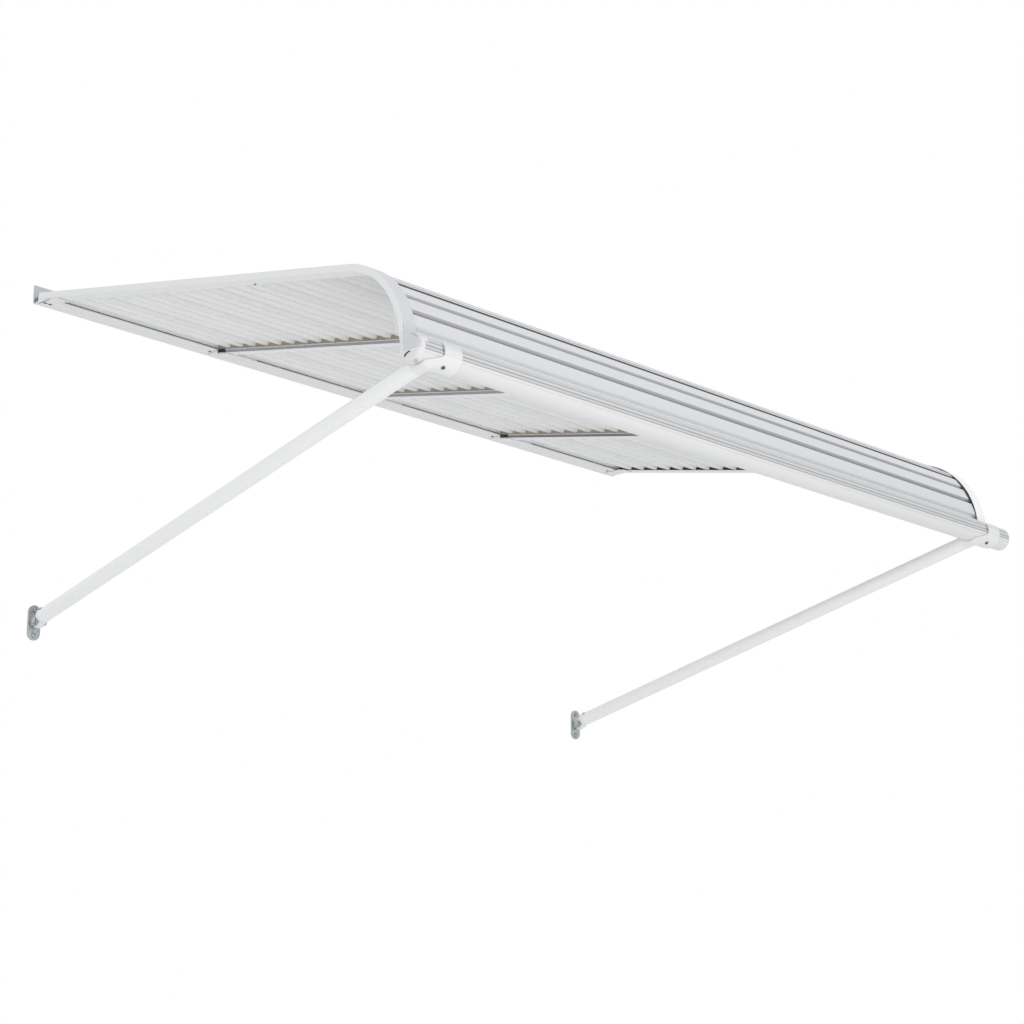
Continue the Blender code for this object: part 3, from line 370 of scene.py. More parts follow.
# Looks as short name, material name, colour, roughness, metallic and finish
SURFACES = (
    ("white", "white_paint", (0.80, 0.80, 0.79), 0.36, 0.0, "baked"),
    ("roof", "roof_paint", (0.78, 0.785, 0.79), 0.34, 0.0, "sheet"),
    # Bar: the white paint made darker, as painted shade
    ("bar", "bar_paint", (0.75, 0.75, 0.74), 0.34, 0.0, "bar"),
    # Arm: the white paint made lighter, as painted light
    ("arm", "arm_paint", (0.87, 0.87, 0.86), 0.32, 0.0, "tube"),
    # Painted shade on the middle rafters' webs, between their flanges
    ("web", "rafter_web_paint", (0.38, 0.40, 0.43), 0.42, 0.0, "web"),
    ("rail", "mill_aluminium", (0.52, 0.53, 0.55), 0.40, 0.8, "mill"),
    ("zinc", "zinc_plate", (0.45, 0.475, 0.485), 0.38, 0.9, "zinc"),
    ("pale_zinc", "pale_zinc", (0.60, 0.60, 0.61), 0.45, 0.3, "pale_zinc"),
    ("dark_zinc", "dark_zinc", (0.12, 0.12, 0.125), 0.5, 0.3, "dark_zinc"),
    # Painted shade on the left end rafter's front face and the foot casting's front edges
    ("lip", "rafter_face_paint", (0.63, 0.64, 0.66), 0.36, 0.0, "baked"),
    # Painted shade in the pans' grooves, on their outer crowns and on their underside flats; their underside
    # rib walls get painted light
    ("groove", "groove_paint", (0.52, 0.52, 0.525), 0.4, 0.0, "sheet"),
    ("groove_floor", "groove_floor_paint", (0.41, 0.41, 0.415), 0.4, 0.0, "sheet"),
    ("crown", "crown_paint", (0.68, 0.685, 0.70), 0.34, 0.0, "sheet"),
    ("rib_flat", "rib_flat_paint", (0.72, 0.72, 0.715), 0.4, 0.0, "underside"),
    # Darker painted shade on the last middle rafter's web
    ("dark_web", "dark_web_paint", (0.23, 0.22, 0.25), 0.42, 0.0, "web"),
    ("rib_wall", "rib_wall_paint", (0.89, 0.89, 0.885), 0.4, 0.0, "underside"),
    # Painted highlight on the right end rafter's front face
    ("bright", "bright_paint", (0.92, 0.92, 0.93), 0.34, 0.0, "baked"),
    # Painted shade on the bar's front band and lines
    ("bar_band", "bar_band_paint", (0.62, 0.62, 0.625), 0.4, 0.0, "bar"),
    ("bar_line", "bar_line_paint", (0.36, 0.36, 0.36), 0.4, 0.0, "bar"),
)

# Camera, worked out from the photo's parallel edges
CAMERA_PLACE = (-3.056, -3.391, -1.4625)
CAMERA_TURN = math.radians(45.966)
CAMERA_PITCH = math.radians(15.091)
CAMERA_ROLL = math.radians(0.125)
CAMERA_LENS = 84.65

# Studio, with lamps as name, place, target, size, power and colour
LIT_COLOUR = (0.97, 0.98, 1.0, 1.0)
LIT_STRENGTH = 0.94
FLOOR_Z = -1.75
FLOOR_SIZE = 60.0
LAMPS = (
    ("front_softbox", (-2.8, -6.6, -1.0), (0.0, -0.6, -0.2), 4.5, 24.0, (0.97, 0.98, 1.0)),
    ("low_softbox", (-0.8, -2.4, -1.66), (-0.1, -0.4, -0.1), 2.2, 20.0, (1.0, 0.985, 0.965)),
)


# Meshes

def keep_mesh(name, bm):
    mesh = bpy.data.meshes.new(name)
    bm.to_mesh(mesh)
    bm.free()
    return mesh


def shade(mesh, angle=SMOOTH):
    mesh.shade_smooth()
    mesh.set_sharp_from_angle(angle=angle)
    return mesh


def close_mesh(name, bm):
    bmesh.ops.remove_doubles(bm, verts=bm.verts, dist=WELD)
    bmesh.ops.recalc_face_normals(bm, faces=bm.faces)
    return shade(keep_mesh(name, bm))


def skin_mesh(name, loops, ring=False):
    """Skin over loops of points, closed at both ends or, as a ring, on to its first loop."""
    bm = bmesh.new()
    rows = [[bm.verts.new(point) for point in loop] for loop in loops]
    if ring:
        rows.append(rows[0])
    else:
        bm.faces.new(rows[0])
        bm.faces.new(rows[-1])
    for low, high in zip(rows, rows[1:]):
        for i in range(len(low)):
            j = (i + 1) % len(low)
            bm.faces.new((low[i], low[j], high[j], high[i]))
    return close_mesh(name, bm)


def rounded(outline, radius):
    """Closed outline with its corners turned into small arcs."""
    result = []
    count = len(outline)
    for i in range(count):
        corner = Vector(outline[i])
        back = Vector(outline[i - 1]) - corner
        ahead = Vector(outline[(i + 1) % count]) - corner
        angle = back.angle(ahead, math.pi)
        if not CORNER_TURNS[0] <= angle <= CORNER_TURNS[1]:
            result.append(tuple(corner))
            continue
        reach = min(radius / math.tan(angle / 2), CORNER_SHARE * back.length, CORNER_SHARE * ahead.length)
        first = corner + back.normalized() * reach
        last = corner + ahead.normalized() * reach
        for step in range(CORNER_STEPS + 1):
            share = step / CORNER_STEPS
            point = first * (1 - share) ** 2 + corner * (2 * share * (1 - share)) + last * share ** 2
            result.append(tuple(point))
    return result


def offset_line(points, distance):
    """Open line moved sideways by a distance, with mitred corners."""
    result = []
    for i, point in enumerate(points):
        here = Vector(point)
        before = here - Vector(points[max(i - 1, 0)])
        after = Vector(points[min(i + 1, len(points) - 1)]) - here
        before = before.normalized() if before.length else after.normalized()
        after = after.normalized() if after.length else before
        normal = Vector((-before.y - after.y, before.x + after.x)).normalized()
        reach = distance / max(normal.dot(Vector((-before.y, before.x))), 0.5)
        result.append(tuple(here + normal * reach))
    return result


def arc(centre, radius, start, end, step=ARC_STEP):
    """Points (out, z) on a circle, angles from straight out towards up."""
    steps = max(2, math.ceil(abs(end - start) / step))
    angles = [start + (end - start) * i / steps for i in range(steps + 1)]
    return [(centre[0] + radius * math.cos(a), centre[1] + radius * math.sin(a)) for a in angles]


def profile_mesh(name, outline, left, right):
    """Outline of (out, z) points run along X."""
    return skin_mesh(name, [[(x, -out, z) for out, z in outline] for x in (left, right)])


def turned_mesh(name, rings, seat, direction, sides=ROUND_SIDES, ring=False):
    """Turned shape: rings are (along, radius) from the seat in the direction."""
    turn = direction.normalized().to_track_quat("Z", "Y").to_matrix()
    angles = [2 * math.pi * i / sides for i in range(sides)]
    loops = []
    for along, radius in rings:
        spokes = [Vector((radius * math.cos(a), radius * math.sin(a), along)) for a in angles]
        loops.append([seat + turn @ spoke for spoke in spokes])
    return skin_mesh(name, loops, ring)


def round_bar(name, start, end, radius, bore=0.0, sides=ROUND_SIDES):
    """Round bar between two points, or a tube where a bore is given."""
    length = (end - start).length
    rings = [(0.0, radius), (length, radius)]
    if bore:
        rings += [(length, bore), (0.0, bore)]
    return turned_mesh(name, rings, start, end - start, sides, ring=bool(bore))


def drill(middle, reach, radius, sides=DRILL_SIDES):
    """Round cutter through a point, as far as a reach to both sides."""
    return round_bar("drill", middle - reach, middle + reach, radius, sides=sides)


def as_object(name, mesh):
    obj = bpy.data.objects.new(name, mesh)
    bpy.context.scene.collection.objects.link(obj)
    return obj


def profile(name, outline, left, right):
    return as_object(name, profile_mesh(name, outline, left, right))


def settle(obj, angle=SMOOTH):
    """Apply an object's modifiers to its mesh."""
    depsgraph = bpy.context.evaluated_depsgraph_get()
    mesh = bpy.data.meshes.new_from_object(obj.evaluated_get(depsgraph))
    obj.modifiers.clear()
    obj.data = shade(mesh, angle)
    return obj


def combine(obj, meshes, operation="DIFFERENCE"):
    """Boolean with closed tool meshes, applied at once."""
    for mesh in meshes:
        tool = as_object(obj.name + "_tool", mesh)
        step = obj.modifiers.new("cut", "BOOLEAN")
        step.operation = operation
        step.solver = "EXACT"
        step.object = tool
        settle(obj)
        bpy.data.objects.remove(tool, do_unlink=True)
    return obj


def soften(obj, width):
    step = obj.modifiers.new("soft_edges", "BEVEL")
    step.width = width
    step.segments = 2
    step.limit_method = "ANGLE"
    step.angle_limit = SOFT_ANGLE
    step.harden_normals = False
    return settle(obj)


def cast(name, meshes, voxel, rounds):
    """Join closed meshes into one cast skin with soft inner corners."""
    bm = bmesh.new()
    for mesh in meshes:
        bm.from_mesh(mesh)
        bpy.data.meshes.remove(mesh)
    obj = as_object(name, keep_mesh(name, bm))
    skin = obj.modifiers.new("skin", "REMESH")
    skin.mode = "VOXEL"
    skin.voxel_size = voxel
    ease = obj.modifiers.new("ease", "SMOOTH")
    ease.factor = CAST_EASE
    ease.iterations = rounds
    return settle(obj, CAST_SMOOTH)


def join_all(name, objs):
    """One mesh object out of several."""
    bm = bmesh.new()
    for obj in objs:
        bm.from_mesh(obj.data)
    mesh = shade(keep_mesh(name, bm))
    for obj in objs:
        bpy.data.objects.remove(obj, do_unlink=True)
    return as_object(name, mesh)


def fit(obj, look, *nodes, body="canopy", slot=None):
    """Give a finished piece its material, its body and the nodes that it stands for; its slot is not used."""
    obj.data.materials.clear()
    obj.data.materials.append(LOOKS[look])
    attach(obj, body)
    if nodes:
        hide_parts(*nodes)
    return obj


def paint(piece, coat):
    """Coat each face of a piece with the look that a rule names for it, if any."""
    numbers = {}
    for face in piece.data.polygons:
        look = coat(face)
        if look is None:
            continue
        if look not in numbers:
            numbers[look] = len(piece.data.materials)
            piece.data.materials.append(LOOKS[look])
        face.material_index = numbers[look]


# Node helpers

def feed(tree, node, inputs):
    """Link or set inputs of a node, each under its name or number."""
    for key, value in inputs.items():
        if isinstance(value, bpy.types.NodeSocket):
            tree.links.new(value, node.inputs[key])
        else:
            node.inputs[key].default_value = value


def add_node(tree, kind, inputs=None, **settings):
    node = tree.nodes.new(kind)
    for key, value in settings.items():
        setattr(node, key, value)
    feed(tree, node, inputs or {})
    return node


def maths(tree, operation, *values, clamp=False):
    inputs = dict(enumerate(values))
    return add_node(tree, "ShaderNodeMath", inputs, operation=operation, use_clamp=clamp).outputs[0]


def ramp(tree, value, low, high, to_low, to_high):
    inputs = {"Value": value, "From Min": low, "From Max": high, "To Min": to_low, "To Max": to_high}
    return add_node(tree, "ShaderNodeMapRange", inputs, clamp=True).outputs["Result"]


def new_tree(name, kind, inputs, outputs):
    """Node group; each input has its default number or the kind of its socket."""
    tree = bpy.data.node_groups.new(name, kind)
    for label, value in inputs.items():
        socket = {float: "Float", int: "Int"}.get(type(value), value)
        made = tree.interface.new_socket(label, in_out="INPUT", socket_type="NodeSocket" + socket)
        if socket != value:
            made.default_value = value
    for label, socket in outputs.items():
        tree.interface.new_socket(label, in_out="OUTPUT", socket_type="NodeSocket" + socket)
    return tree, tree.nodes.new("NodeGroupInput").outputs


def end_tree(tree, given, geometry):
    real = add_node(tree, "GeometryNodeRealizeInstances", {"Geometry": geometry})
    inputs = {"Geometry": real.outputs[0], "Material": given["Material"]}
    coated = add_node(tree, "GeometryNodeSetMaterial", inputs)
    add_node(tree, "NodeGroupOutput", {"Geometry": coated.outputs[0]})
    return tree


def grow(name, tree, look, mesh=None, **values):
    """Run a geometry tree once and keep its result as a plain mesh object."""
    obj = as_object(name, mesh if mesh is not None else bpy.data.meshes.new(name))
    modifier = obj.modifiers.new(tree, "NODES")
    modifier.node_group = TREES[tree]
    values["material"] = LOOKS[look]
    for item in modifier.node_group.interface.items_tree:
        key = item.name.lower().replace(" ", "_")
        if item.item_type == "SOCKET" and item.in_out == "INPUT" and key in values:
            modifier[item.identifier] = values[key]
    return settle(obj)


# Geometry trees

def make_bend_rule():
    """Node group: a run along the roof, a lift off it and an x give a place."""
    inputs = {"Run": 0.0, "Lift": 0.0, "X": 0.0, "Straight Run": STRAIGHT_RUN,
              "Bend Radius": BEND_RADIUS, "Bend Turn": BEND_TURN, "Roof Slope": ROOF_SLOPE,
              "Start Out": ROOF_START_OUT, "Start Z": ROOF_START_Z}
    tree, given = new_tree("roof_bend_rule", "GeometryNodeTree", inputs, {"Place": "Vector"})
    calc = partial(maths, tree)
    run = given["Run"]
    lift = given["Lift"]
    radius = given["Bend Radius"]
    roof = given["Roof Slope"]
    past = calc("SUBTRACT", run, given["Straight Run"])
    turn = calc("MAXIMUM", calc("DIVIDE", past, radius), 0.0)
    slope = calc("ADD", roof, calc("MINIMUM", turn, given["Bend Turn"]))
    flat = calc("MINIMUM", run, given["Straight Run"])
    bend = calc("MULTIPLY", radius, given["Bend Turn"])
    rest = calc("MAXIMUM", calc("SUBTRACT", past, bend), 0.0)
    cosine = calc("COSINE", slope)
    sine = calc("SINE", slope)
    roof_cosine = calc("COSINE", roof)
    roof_sine = calc("SINE", roof)
    out = calc("MULTIPLY_ADD", flat, roof_cosine, given["Start Out"])
    out = calc("MULTIPLY_ADD", rest, cosine, out)
    out = calc("MULTIPLY_ADD", radius, calc("SUBTRACT", sine, roof_sine), out)
    out = calc("MULTIPLY_ADD", lift, sine, out)
    fall = calc("MULTIPLY", flat, roof_sine)
    fall = calc("MULTIPLY_ADD", rest, sine, fall)
    fall = calc("MULTIPLY_ADD", radius, calc("SUBTRACT", roof_cosine, cosine), fall)
    height = calc("SUBTRACT", given["Start Z"], fall)
    height = calc("MULTIPLY_ADD", lift, cosine, height)
    parts = {"X": given["X"], "Y": calc("MULTIPLY", out, -1.0), "Z": height}
    place = add_node(tree, "ShaderNodeCombineXYZ", parts)
    add_node(tree, "NodeGroupOutput", {"Place": place.outputs[0]})
    return tree


def place_by_rule(tree, rule, run, lift, x):
    inputs = {"Run": run, "Lift": lift, "X": x}
    return add_node(tree, "GeometryNodeGroup", inputs, node_tree=rule).outputs["Place"]


def own_place(tree):
    here = add_node(tree, "GeometryNodeInputPosition")
    return add_node(tree, "ShaderNodeSeparateXYZ", {0: here.outputs[0]}).outputs


def make_roof_bend(rule):
    """Tree: a straight blank, drawn as (x, -run, lift), is bent along the roof line."""
    inputs = {"Geometry": "Geometry", "Material": "Material"}
    tree, given = new_tree("roof_bend", "GeometryNodeTree", inputs, {"Geometry": "Geometry"})
    here = own_place(tree)
    run = maths(tree, "MULTIPLY", here["Y"], -1.0)
    place = place_by_rule(tree, rule, run, here["Z"], here["X"])
    inputs = {"Geometry": given["Geometry"], "Position": place}
    move = add_node(tree, "GeometryNodeSetPosition", inputs)
    return end_tree(tree, given, move.outputs[0])


def store_value(tree, geometry, label, value, **more):
    """Keep a value on the faces of a mesh under a name."""
    inputs = {"Geometry": geometry, "Name": label, "Value": value, **more}
    node = add_node(tree, "GeometryNodeStoreNamedAttribute", inputs, data_type="FLOAT", domain="FACE")
    return node.outputs["Geometry"]


def make_roof_pan(rule):
    """Tree: a ribbed roof sheet with a turned-down rear lip and a lap at its front edge."""
    inputs = {"Half Width": 0.75, "Rear Edge": 0.0, "Ribs": 4.0, "Pitch": RIB_PITCH, "Depth": RIB_DEPTH,
              "Groove Floor": GROOVE_FLOOR, "Groove Half": GROOVE_HALF, "Level": PAN_LEVEL,
              "Sheet": SHEET, "Lap": SEAM_LAP, "Lip": SEAM_LIP, "Step": SHEET + GAP, "Inset": GAP,
              "Rows": 320, "Material": "Material"}
    tree, size = new_tree("roof_pan", "GeometryNodeTree", inputs, {"Geometry": "Geometry"})
    calc = partial(maths, tree)
    width = calc("MULTIPLY", size["Half Width"], 2.0)
    inputs = {"Size X": width, "Size Y": 1.0, "Vertices X": 2, "Vertices Y": size["Rows"]}
    grid = add_node(tree, "GeometryNodeMeshGrid", inputs)
    here = own_place(tree)
    share = calc("ADD", here["Y"], 0.5)
    cover = calc("MULTIPLY", size["Ribs"], size["Pitch"])
    length = calc("SUBTRACT", calc("ADD", cover, size["Lap"]), size["Inset"])
    along = calc("MULTIPLY_ADD", share, length, size["Inset"])
    phase = calc("FRACT", calc("DIVIDE", along, size["Pitch"]))
    signed = calc("MULTIPLY", calc("SUBTRACT", phase, 0.5), size["Pitch"])
    off = calc("ABSOLUTE", signed)
    rise = ramp(tree, off, size["Groove Floor"], size["Groove Half"], 0.0, size["Depth"])
    lip_end = calc("ADD", size["Inset"], size["Sheet"])
    drop = ramp(tree, along, size["Inset"], lip_end, size["Lip"], 0.0)
    lap_from = calc("SUBTRACT", cover, calc("MULTIPLY", size["Step"], 2.0))
    lap_to = calc("SUBTRACT", cover, calc("MULTIPLY", size["Step"], 0.5))
    lapped = calc("GREATER_THAN", size["Lap"], 0.0)
    raised = calc("MULTIPLY", ramp(tree, along, lap_from, lap_to, 0.0, size["Step"]), lapped)
    lift = calc("SUBTRACT", calc("ADD", size["Level"], rise), drop)
    lift = calc("ADD", lift, raised)
    run = calc("ADD", size["Rear Edge"], along)
    marked = store_value(tree, grid.outputs["Mesh"], "rib_offset", signed)
    place = place_by_rule(tree, rule, run, lift, here["X"])
    move = add_node(tree, "GeometryNodeSetPosition", {"Geometry": marked, "Position": place})
    turned = add_node(tree, "GeometryNodeFlipFaces", {0: move.outputs[0]})
    inputs = {"Mesh": turned.outputs[0], "Offset Scale": size["Sheet"], "Individual": False}
    thick = add_node(tree, "GeometryNodeExtrudeMesh", inputs, mode="FACES")
    both = add_node(tree, "GeometryNodeJoinGeometry", {0: move.outputs[0]})
    skin = store_value(tree, thick.outputs["Mesh"], "outer_skin", 1.0, Selection=thick.outputs["Top"])
    tree.links.new(skin, both.inputs[0])
    inputs = {"Geometry": both.outputs[0], "Distance": PAN_WELD}
    weld = add_node(tree, "GeometryNodeMergeByDistance", inputs)
    return end_tree(tree, size, weld.outputs[0])


def make_screw_row():
    """Tree: one screw repeated at an even step."""
    inputs = {"Screw": "Object", "First": "Vector", "Step": "Vector", "Count": 2, "Material": "Material"}
    tree, given = new_tree("screw_row", "GeometryNodeTree", inputs, {"Geometry": "Geometry"})
    inputs = {"Count": given["Count"], "Start Location": given["First"], "Offset": given["Step"]}
    line = add_node(tree, "GeometryNodeMeshLine", inputs, mode="OFFSET")
    screw = add_node(tree, "GeometryNodeObjectInfo", {"Object": given["Screw"], "As Instance": True})
    inputs = {"Points": line.outputs[0], "Instance": screw.outputs["Geometry"]}
    spread = add_node(tree, "GeometryNodeInstanceOnPoints", inputs)
    return end_tree(tree, given, spread.outputs[0])


def make_trees():
    rule = make_bend_rule()
    return {"roof_bend": make_roof_bend(rule), "roof_pan": make_roof_pan(rule), "screw_row": make_screw_row()}


# Materials

def make_film_group():
    """Shader group: faint mottle of a baked paint film, for colour, roughness and height."""
    inputs = {"Scale": 60.0, "Streak": 1.0, "Amount": 1.0}
    outputs = {"Tone": "Float", "Roughness Shift": "Float", "Height": "Float"}
    tree, given = new_tree("paint_film", "ShaderNodeTree", inputs, outputs)
    place = add_node(tree, "ShaderNodeTexCoord").outputs["Object"]
    shape = add_node(tree, "ShaderNodeCombineXYZ", {"X": given["Streak"], "Y": 1.0, "Z": 1.0})
    inputs = {0: place, 1: shape.outputs[0]}
    stretch = add_node(tree, "ShaderNodeVectorMath", inputs, operation="MULTIPLY")
    inputs = {"Vector": stretch.outputs[0], "Scale": given["Scale"], "Detail": 3.0}
    broad = add_node(tree, "ShaderNodeTexNoise", inputs)
    fine = add_node(tree, "ShaderNodeTexNoise", {"Vector": place, "Scale": FILM_GRAIN, "Detail": 2.0})
    spread = maths(tree, "SUBTRACT", broad.outputs["Fac"], 0.5)
    spread = maths(tree, "MULTIPLY", spread, given["Amount"])
    tone = maths(tree, "ADD", 1.0, spread)
    inputs = {"Tone": tone, "Roughness Shift": spread, "Height": fine.outputs["Fac"]}
    add_node(tree, "NodeGroupOutput", inputs)
    return tree


def new_material(name):
    material = bpy.data.materials.new(name)
    material.use_nodes = True
    return material, material.node_tree, material.node_tree.nodes["Principled BSDF"]


def make_surface(name, film, colour, roughness, metallic, finish):
    """Material on one film group: tone times colour, shifted roughness and a fine bump."""
    scale, streak, amount, rough_share, bump = FINISHES[finish]
    material, tree, shader = new_material(name)
    inputs = {"Scale": scale, "Streak": streak, "Amount": amount}
    group = add_node(tree, "ShaderNodeGroup", inputs, node_tree=film)
    inputs = {0: colour, "Scale": group.outputs["Tone"]}
    tint = add_node(tree, "ShaderNodeVectorMath", inputs, operation="SCALE")
    shift = group.outputs["Roughness Shift"]
    rough = maths(tree, "MULTIPLY_ADD", shift, rough_share, roughness, clamp=True)
    inputs = {"Strength": bump, "Distance": FILM_DEPTH, "Height": group.outputs["Height"]}
    grain = add_node(tree, "ShaderNodeBump", inputs)
    feed(tree, shader, {"Base Color": tint.outputs[0], "Roughness": rough,
                        "Metallic": metallic, "Normal": grain.outputs[0]})
    return material


def make_plain(name, colour, roughness):
    material, tree, shader = new_material(name)
    feed(tree, shader, {"Base Color": (*colour, 1.0), "Roughness": roughness})
    return material


def make_looks():
    film = make_film_group()
    looks = {}
    for look, name, colour, roughness, metallic, finish in SURFACES:
        looks[look] = make_surface(name, film, colour, roughness, metallic, finish)
    # Brown-black for painted shade in the gaps over the middle rafters
    looks["foam"] = make_plain("closure_foam", (0.40, 0.34, 0.24), 0.9)
    # Black for painted shadow in gaps, grooves, notches and open ends
    looks["dark_shadow"] = make_plain("black_vinyl", (0.02, 0.02, 0.02), 0.6)
    return looks


# Places and shared shapes

def roof_z(out, lift):
    """Height of the straight roof line, raised square to itself by a lift."""
    return ROOF_START_Z + (ROOF_START_OUT - out) * math.tan(ROOF_SLOPE) + lift / math.cos(ROOF_SLOPE)


def roof_quad(outs, lifts):
    """Four corners between two outs and two lifts off the straight roof line."""
    (back, front), (low, high) = outs, lifts
    return [(back, roof_z(back, low)), (front, roof_z(front, low)),
            (front, roof_z(front, high)), (back, roof_z(back, high))]


def bar_place(radius, angle):
    return BAR_OUT + radius * math.cos(angle), BAR_Z + radius * math.sin(angle)


def bar_middle(x):
    return Vector((x, -BAR_OUT, BAR_Z))


def bar_spoke(angle):
    return Vector((0.0, -math.cos(angle), math.sin(angle)))


def bar_angle(face):
    return math.atan2(face.center.z - BAR_Z, -face.center.y - BAR_OUT)


def pan_screw(name, place, direction, sizes, depth, recess=True):
    """Domed screw seated at a place, with a cross recess in its head."""
    head, height, shank = sizes
    point = shank * SCREW_POINT
    rings = [(-depth, shank - point), (-depth + point, shank), (0.0, shank)]
    rings += [(height * rise, head * share) for rise, share in HEAD_CURVE]
    obj = as_object(name, turned_mesh(name, rings, Vector(), direction, SCREW_SIDES))
    if recess:
        turn = direction.normalized().to_track_quat("Z", "Y").to_matrix().to_4x4()
        length, width, rise = SCREW_RECESS
        size = Matrix.Diagonal((head * length, head * width, height * rise, 1.0))
        shift = Matrix.Translation((0.0, 0.0, height))
        cutters = []
        for angle in (SCREW_RECESS_TURN, SCREW_RECESS_TURN + math.pi / 2):
            bm = bmesh.new()
            bmesh.ops.create_cube(bm, size=1.0)
            bm.transform(turn @ Matrix.Rotation(angle, 4, "Z") @ shift @ size)
            cutters.append(close_mesh("recess", bm))
        combine(obj, cutters)
    obj.data.transform(Matrix.Translation(place))
    return obj


def wall_screws(name, first, step, count, depth):
    """Row of equal screws that point to the wall."""
    pattern = pan_screw(name + "_pattern", Vector(), AWAY, WALL_SCREW, depth)
    screws = grow(name, "screw_row", "zinc", screw=pattern, first=first, step=step, count=count)
    bpy.data.objects.remove(pattern, do_unlink=True)
    return screws


def wall_drill(x, z):
    return drill(Vector((x, 0.0, z)), AWAY * -DRILL_REACH, WALL_SCREW_HOLE)


def bent_section(name, look, section, runs):
    """Section of (x, lift) points run along the roof line."""
    loops = [[(x, -run, lift) for x, lift in section] for run in runs]
    return grow(name, "roof_bend", look, skin_mesh(name, loops))


def bent_ribbon(name, look, stations):
    """Strip along the roof line, through stations of (run, left, right, low, high)."""
    loops = []
    for run, left, right, low, high in stations:
        corners = ((left, low), (right, low), (right, high), (left, high))
        loops.append([(x, -run, lift) for x, lift in corners])
    return grow(name, "roof_bend", look, skin_mesh(name, loops))


def strip_outline(line):
    return rounded(line + list(reversed(offset_line(line, -CLIP_THICK))), EDGE_ROUND)


# Rail and header

def build_rail():
    centre = (HINGE_OUT, 0.0)
    meet = math.acos((RAIL_THICK - HINGE_OUT) / KNUCKLE_OUTER)
    outline = [(0.0, RAIL_TOP)]
    outline += arc(centre, KNUCKLE_OUTER, -math.pi, KNUCKLE_FROM)
    outline += arc(centre, KNUCKLE_BORE, KNUCKLE_FROM, KNUCKLE_TO - 2 * math.pi)
    outline += arc(centre, KNUCKLE_OUTER, KNUCKLE_TO, meet)
    outline.append((RAIL_THICK, RAIL_TOP))
    rail = profile("wall_rail_profile", rounded(outline, EDGE_ROUND), -HALF_WIDTH, HALF_WIDTH)
    reach = HALF_WIDTH - RAIL_SCREW_MARGIN
    step = 2 * reach / (RAIL_SCREW_COUNT - 1)
    combine(rail, [wall_drill(-reach + step * i, RAIL_SCREW_Z) for i in range(RAIL_SCREW_COUNT)])
    fit(rail, "rail", "wall_hinge_rail", body="wall_rail")

    def coat(face):
        return "white" if face.center.z < RAIL_PAINT_TOP and abs(face.normal.x) < RAIL_END_FACING else None

    paint(rail, coat)
    first = (-reach, -RAIL_THICK - GAP, RAIL_SCREW_Z)
    screws = wall_screws("rail_screws", first, (step, 0.0, 0.0), RAIL_SCREW_COUNT, RAIL_THICK)
    names = [f"rail_screw_{i + 1}" for i in range(RAIL_SCREW_COUNT)]
    fit(screws, "zinc", *names, body="wall_rail")


def build_header():
    neck = math.asin(NECK_HALF / BEAD_RADIUS)
    inner_rear = HEADER_REAR + HEADER_WALL
    inner_low = HEADER_BOTTOM + HEADER_WALL
    lip = HEADER_FRONT - HEADER_LIP
    under = CROWN_TOP + GAP
    over = under + HEADER_WALL
    outline = arc((HINGE_OUT, 0.0), BEAD_RADIUS, neck, 2 * math.pi - neck)
    outline += [(HEADER_REAR, -NECK_HALF), (HEADER_REAR, HEADER_BOTTOM)]
    for share in HEADER_GROOVES:
        middle = HEADER_REAR + (HEADER_FRONT - HEADER_REAR) * share
        outline += [(middle + shift, HEADER_BOTTOM + rise) for shift, rise in HEADER_GROOVE]
    outline += [(HEADER_FRONT, HEADER_BOTTOM), (HEADER_FRONT, roof_z(HEADER_FRONT, -GAP))]
    outline += [(lip, roof_z(lip, -GAP)), (lip, inner_low)]
    outline += [(inner_rear, inner_low), (inner_rear, roof_z(inner_rear, under))]
    outline += [(HEADER_FRONT, roof_z(HEADER_FRONT, under)), (HEADER_FRONT, roof_z(HEADER_FRONT, over))]
    outline += [(HEADER_REAR, roof_z(HEADER_REAR, over)), (HEADER_REAR, NECK_HALF)]
    header = profile("rear_header_profile", rounded(outline, FINE_ROUND), -HEADER_REACH, HEADER_REACH)
    fit(header, "white", "rear_header")
    build_header_gap_shadow()


def build_header_gap_shadow():
    """Painted shadow: a black strip in the gap between the header and the first pan, in lengths between the
    rafters.
    """
    starts = [-HEADER_REACH + GAP_SHADOW_INSETS[0]] + [x + GAP_SHADOW_BREAK[1] for x in MID_RAFTERS]
    stops = [x - GAP_SHADOW_BREAK[0] for x in MID_RAFTERS] + [HEADER_REACH - GAP_SHADOW_INSETS[1]]
    outline = roof_quad(GAP_SHADOW_OUTS, GAP_SHADOW_LIFTS)
    strips = [profile("strip", outline, left, right) for left, right in zip(starts, stops)]
    fit(join_all("header_seal", strips), "dark_shadow")


# Roof pans

def pan_lift(run):
    """Underside of the pans above the rafters' top line at a run."""
    start, pitch = PAN_START, RIB_PITCH
    if run > FRONT_PAN_START:
        start, pitch = FRONT_PAN_START, FRONT_RIB_PITCH
    off = abs(((run - start) / pitch) % 1.0 - 0.5) * pitch
    share = min(max((off - GROOVE_FLOOR) / (GROOVE_HALF - GROOVE_FLOOR), 0.0), 1.0)
    return PAN_LEVEL + RIB_DEPTH * share


def rib_light_and_shade(offset, outside, height):
    """Painted shade and painted light on a pan's face, by its offset from its groove's middle, its side and
    its height: darker grooves and crowns outside, only one dark line in the lowest groove, darker flats and
    lighter rib walls underneath.
    """
    off = abs(offset)
    if not outside:
        return "rib_wall" if GROOVE_FLOOR < off < GROOVE_PAINT_HALF else "rib_flat"
    if off >= GROOVE_PAINT_HALF:
        return "crown"
    if height > LOW_GROOVE_Z:
        return "groove" if offset < GROOVE_SHADE else "groove_floor"
    return "groove_floor" if LOW_GROOVE_LINE[0] < offset < LOW_GROOVE_LINE[1] else "roof"


